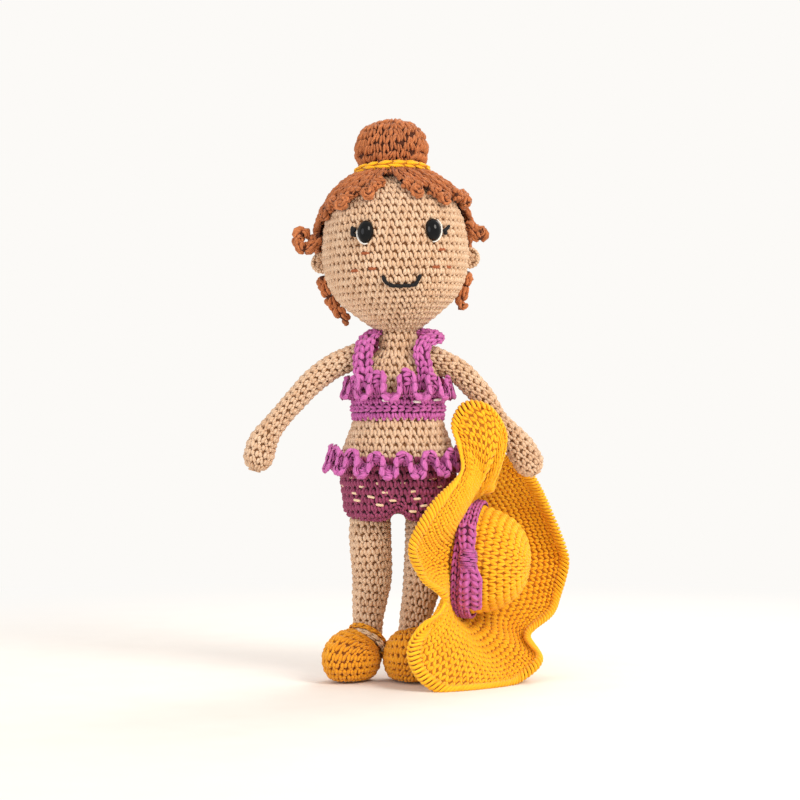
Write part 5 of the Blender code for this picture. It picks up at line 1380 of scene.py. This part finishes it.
def makeThread(name, lines, radius, yarn, slot, *nodes, body="head"):
    # short laid stitches, each a plump length of thread that dips into the cloth at its ends
    piece = newPiece()
    rows, columns = thread["points"], thread["sides"]
    shares = np.linspace(0, 1, rows)
    radii = radius * np.minimum(1.0, thread["tip"] + thread["fullness"] * np.minimum(
        shares, shares[::-1]))
    faces = gridFaces(rows, columns, columns)
    corners = []
    for j in range(rows - 1):
        low, high = (k / rows * thread["uvLength"] for k in (j, j + 1))
        for i in range(columns):
            u, w = i / columns, (i + 1) / columns
            corners += [(u, low), (u, high), (w, high), (w, low)]
    faces.append(tuple(range(columns)))
    faces.append(tuple(range((rows - 1) * columns, rows * columns))[::-1])
    corners = np.array(corners + [(0, 0)] * (2 * columns))
    for line in lines:
        line = np.array(line, float)
        path = smoothRows(line, rows) if len(line) > 2 else \
            line[0] + (line[1] - line[0]) * shares[:, None]
        surface = tubeSurface(path, radii, columns, upright=(0.1, 1, 0.2))
        addMesh(piece, surface["points"].reshape(-1, 3), faces, corners,
                np.full(rows * columns, 0.5), 0, surface["side"] > 0)
    declare(finishPiece(name, piece, [yarns[yarn]], merge=0), body, slot, *nodes)


def makeFaceStitches():
    # back stitches of thick thread along the smile, and one laid stitch for each freckle
    makeThread("mouthThread", faceLines(face["mouth"], face["mouthRadius"] * face["mouthLift"]),
               face["mouthRadius"], "black", "black_thread", "mouth_stitch")
    makeThread("freckleThread", faceLines(face["freckles"], face["freckleLift"]),
               face["freckleRadius"], "freckle", "hair_yarn")


# camera, light and floor
stage = {
    "backdrop": "#FCFAF7", "roomLight": "#FFF9F2", "roomStrength": 0.70,
    "lens": 95.76, "sensor": 36, "clip": (0.05, 20), "camera": (0.00094, -1.0, 0.1314),
    "aim": (0, 0, 0.12), "floorSize": 12, "boardGrain": 0.025, "boardFade": (0.12, 0.55),
    "lamps": {
        "keyLamp": {"place": (0.75, -0.85, 0.85), "size": 0.60, "power": 12.0,
                    "colour": "#FFF8EE"},
        "fillLamp": {"place": (-0.95, -0.85, 0.40), "size": 0.90, "power": 5.0,
                     "colour": "#F6F6FF"},
        "backLamp": {"place": (0.35, 0.65, 0.80), "size": 0.60, "power": 4.2,
                     "colour": "#FFFFFF"},
    },
}


def seenDirectly(tree):
    # one where a camera, glossy or transmission ray looks, none for soft light
    path = addNode(tree, "ShaderNodeLightPath", {}, {}).outputs
    seen = maths(tree, "MAXIMUM", path["Is Camera Ray"], path["Is Glossy Ray"])
    return maths(tree, "MAXIMUM", seen, path["Is Transmission Ray"])


def paleBoard():
    # matt painted board: soft grain near the doll, and away from it the backdrop's own white
    material, tree, shader = newMaterial("matt pale board")
    place = objectPlace(tree)
    grain = noiseOver(tree, place, stage["boardGrain"], 2.0)
    wire(tree, shader, {
        "Base Color": mixedColour(tree, grain, linear("#F1ECE6"), linear("#F7F3EE")),
        "Roughness": 0.9})
    away = addNode(tree, "ShaderNodeVectorMath", {"operation": "LENGTH"}, {0: place})
    near, far = stage["boardFade"]
    fade = addNode(tree, "ShaderNodeMapRange", {"interpolation_type": "SMOOTHSTEP"}, {
        "Value": away.outputs["Value"], "From Min": near, "From Max": far})
    white = addNode(tree, "ShaderNodeEmission", {}, {"Color": linear(stage["backdrop"]),
                                                     "Strength": 1.0})
    share = maths(tree, "MULTIPLY", fade.outputs["Result"], seenDirectly(tree))
    mix = addNode(tree, "ShaderNodeMixShader", {}, {
        0: share, 1: shader.outputs[0], 2: white.outputs[0]})
    wire(tree, tree.nodes["Material Output"], {"Surface": mix.outputs[0]})
    return material


def addThing(name, data, place):
    thing = bpy.data.objects.new(name, data)
    thing.location = place
    bpy.context.scene.collection.objects.link(thing)
    return thing


def setStage():
    scene = bpy.context.scene
    scene.view_settings.view_transform = "Standard"
    lens = bpy.data.cameras.new("camera")
    lens.lens = stage["lens"]
    lens.sensor_width = stage["sensor"]
    lens.clip_start, lens.clip_end = stage["clip"]
    scene.camera = addThing("camera", lens, Vector(stage["camera"]) + Vector(dollPlace))
    scene.camera.rotation_euler = (math.radians(90), 0, 0)
    for name, lamp in stage["lamps"].items():
        light = bpy.data.lights.new(name, "AREA")
        light.shape = "DISK"
        light.size = lamp["size"]
        light.energy = lamp["power"]
        light.color = linear(lamp["colour"])[:3]
        aim = Vector(stage["aim"]) - Vector(lamp["place"])
        addThing(name, light, lamp["place"]).rotation_euler = \
            aim.to_track_quat("-Z", "Y").to_euler()
    deselect()
    bpy.ops.mesh.primitive_plane_add(size=stage["floorSize"], location=(0, 0, 0))
    floor = bpy.context.object
    floor.name = "paleFloor"
    floor.data.materials.append(paleBoard())
    world = bpy.data.worlds.new("paleRoom")
    scene.world = world
    world.use_nodes = True
    tree = world.node_tree
    tree.nodes.clear()
    soft, shown = (
        addNode(tree, "ShaderNodeBackground", {}, {"Color": linear(colour), "Strength": strength})
        for colour, strength in ((stage["roomLight"], stage["roomStrength"]),
                                 (stage["backdrop"], 1.0)))
    mix = addNode(tree, "ShaderNodeMixShader", {}, {
        0: seenDirectly(tree), 1: soft.outputs[0], 2: shown.outputs[0]})
    addNode(tree, "ShaderNodeOutputWorld", {}, {"Surface": mix.outputs[0]})


setStage()
print("stage: camera, light and floor")
makeHead()
for side, name in ((1, "left"), (-1, "right")):
    makeEar(side, name)
    makeEye(name)
makeFaceStitches()
print("stage: head and face")
makeHairCap()
makeLocks()
makeBun()
print("stage: hair")
makeTorso()
makeBand()
makeShorts()
for name in ruffles:
    makeRuffle(name)
for name in straps:
    makeStrap(name)
makeRuns("shortsRuns", "cream", "skin_yarn")
makeRuns("bandRuns", "white", "white_thread")
print("stage: torso and clothes")
for name in limbs:
    makeLimb(name)
for name in ("right", "left"):
    makeShoe(name)
print("stage: arms, legs and shoes")
makeBrim()
makeCrown()
makeHatBand()
makeBow()
print("stage: hat")
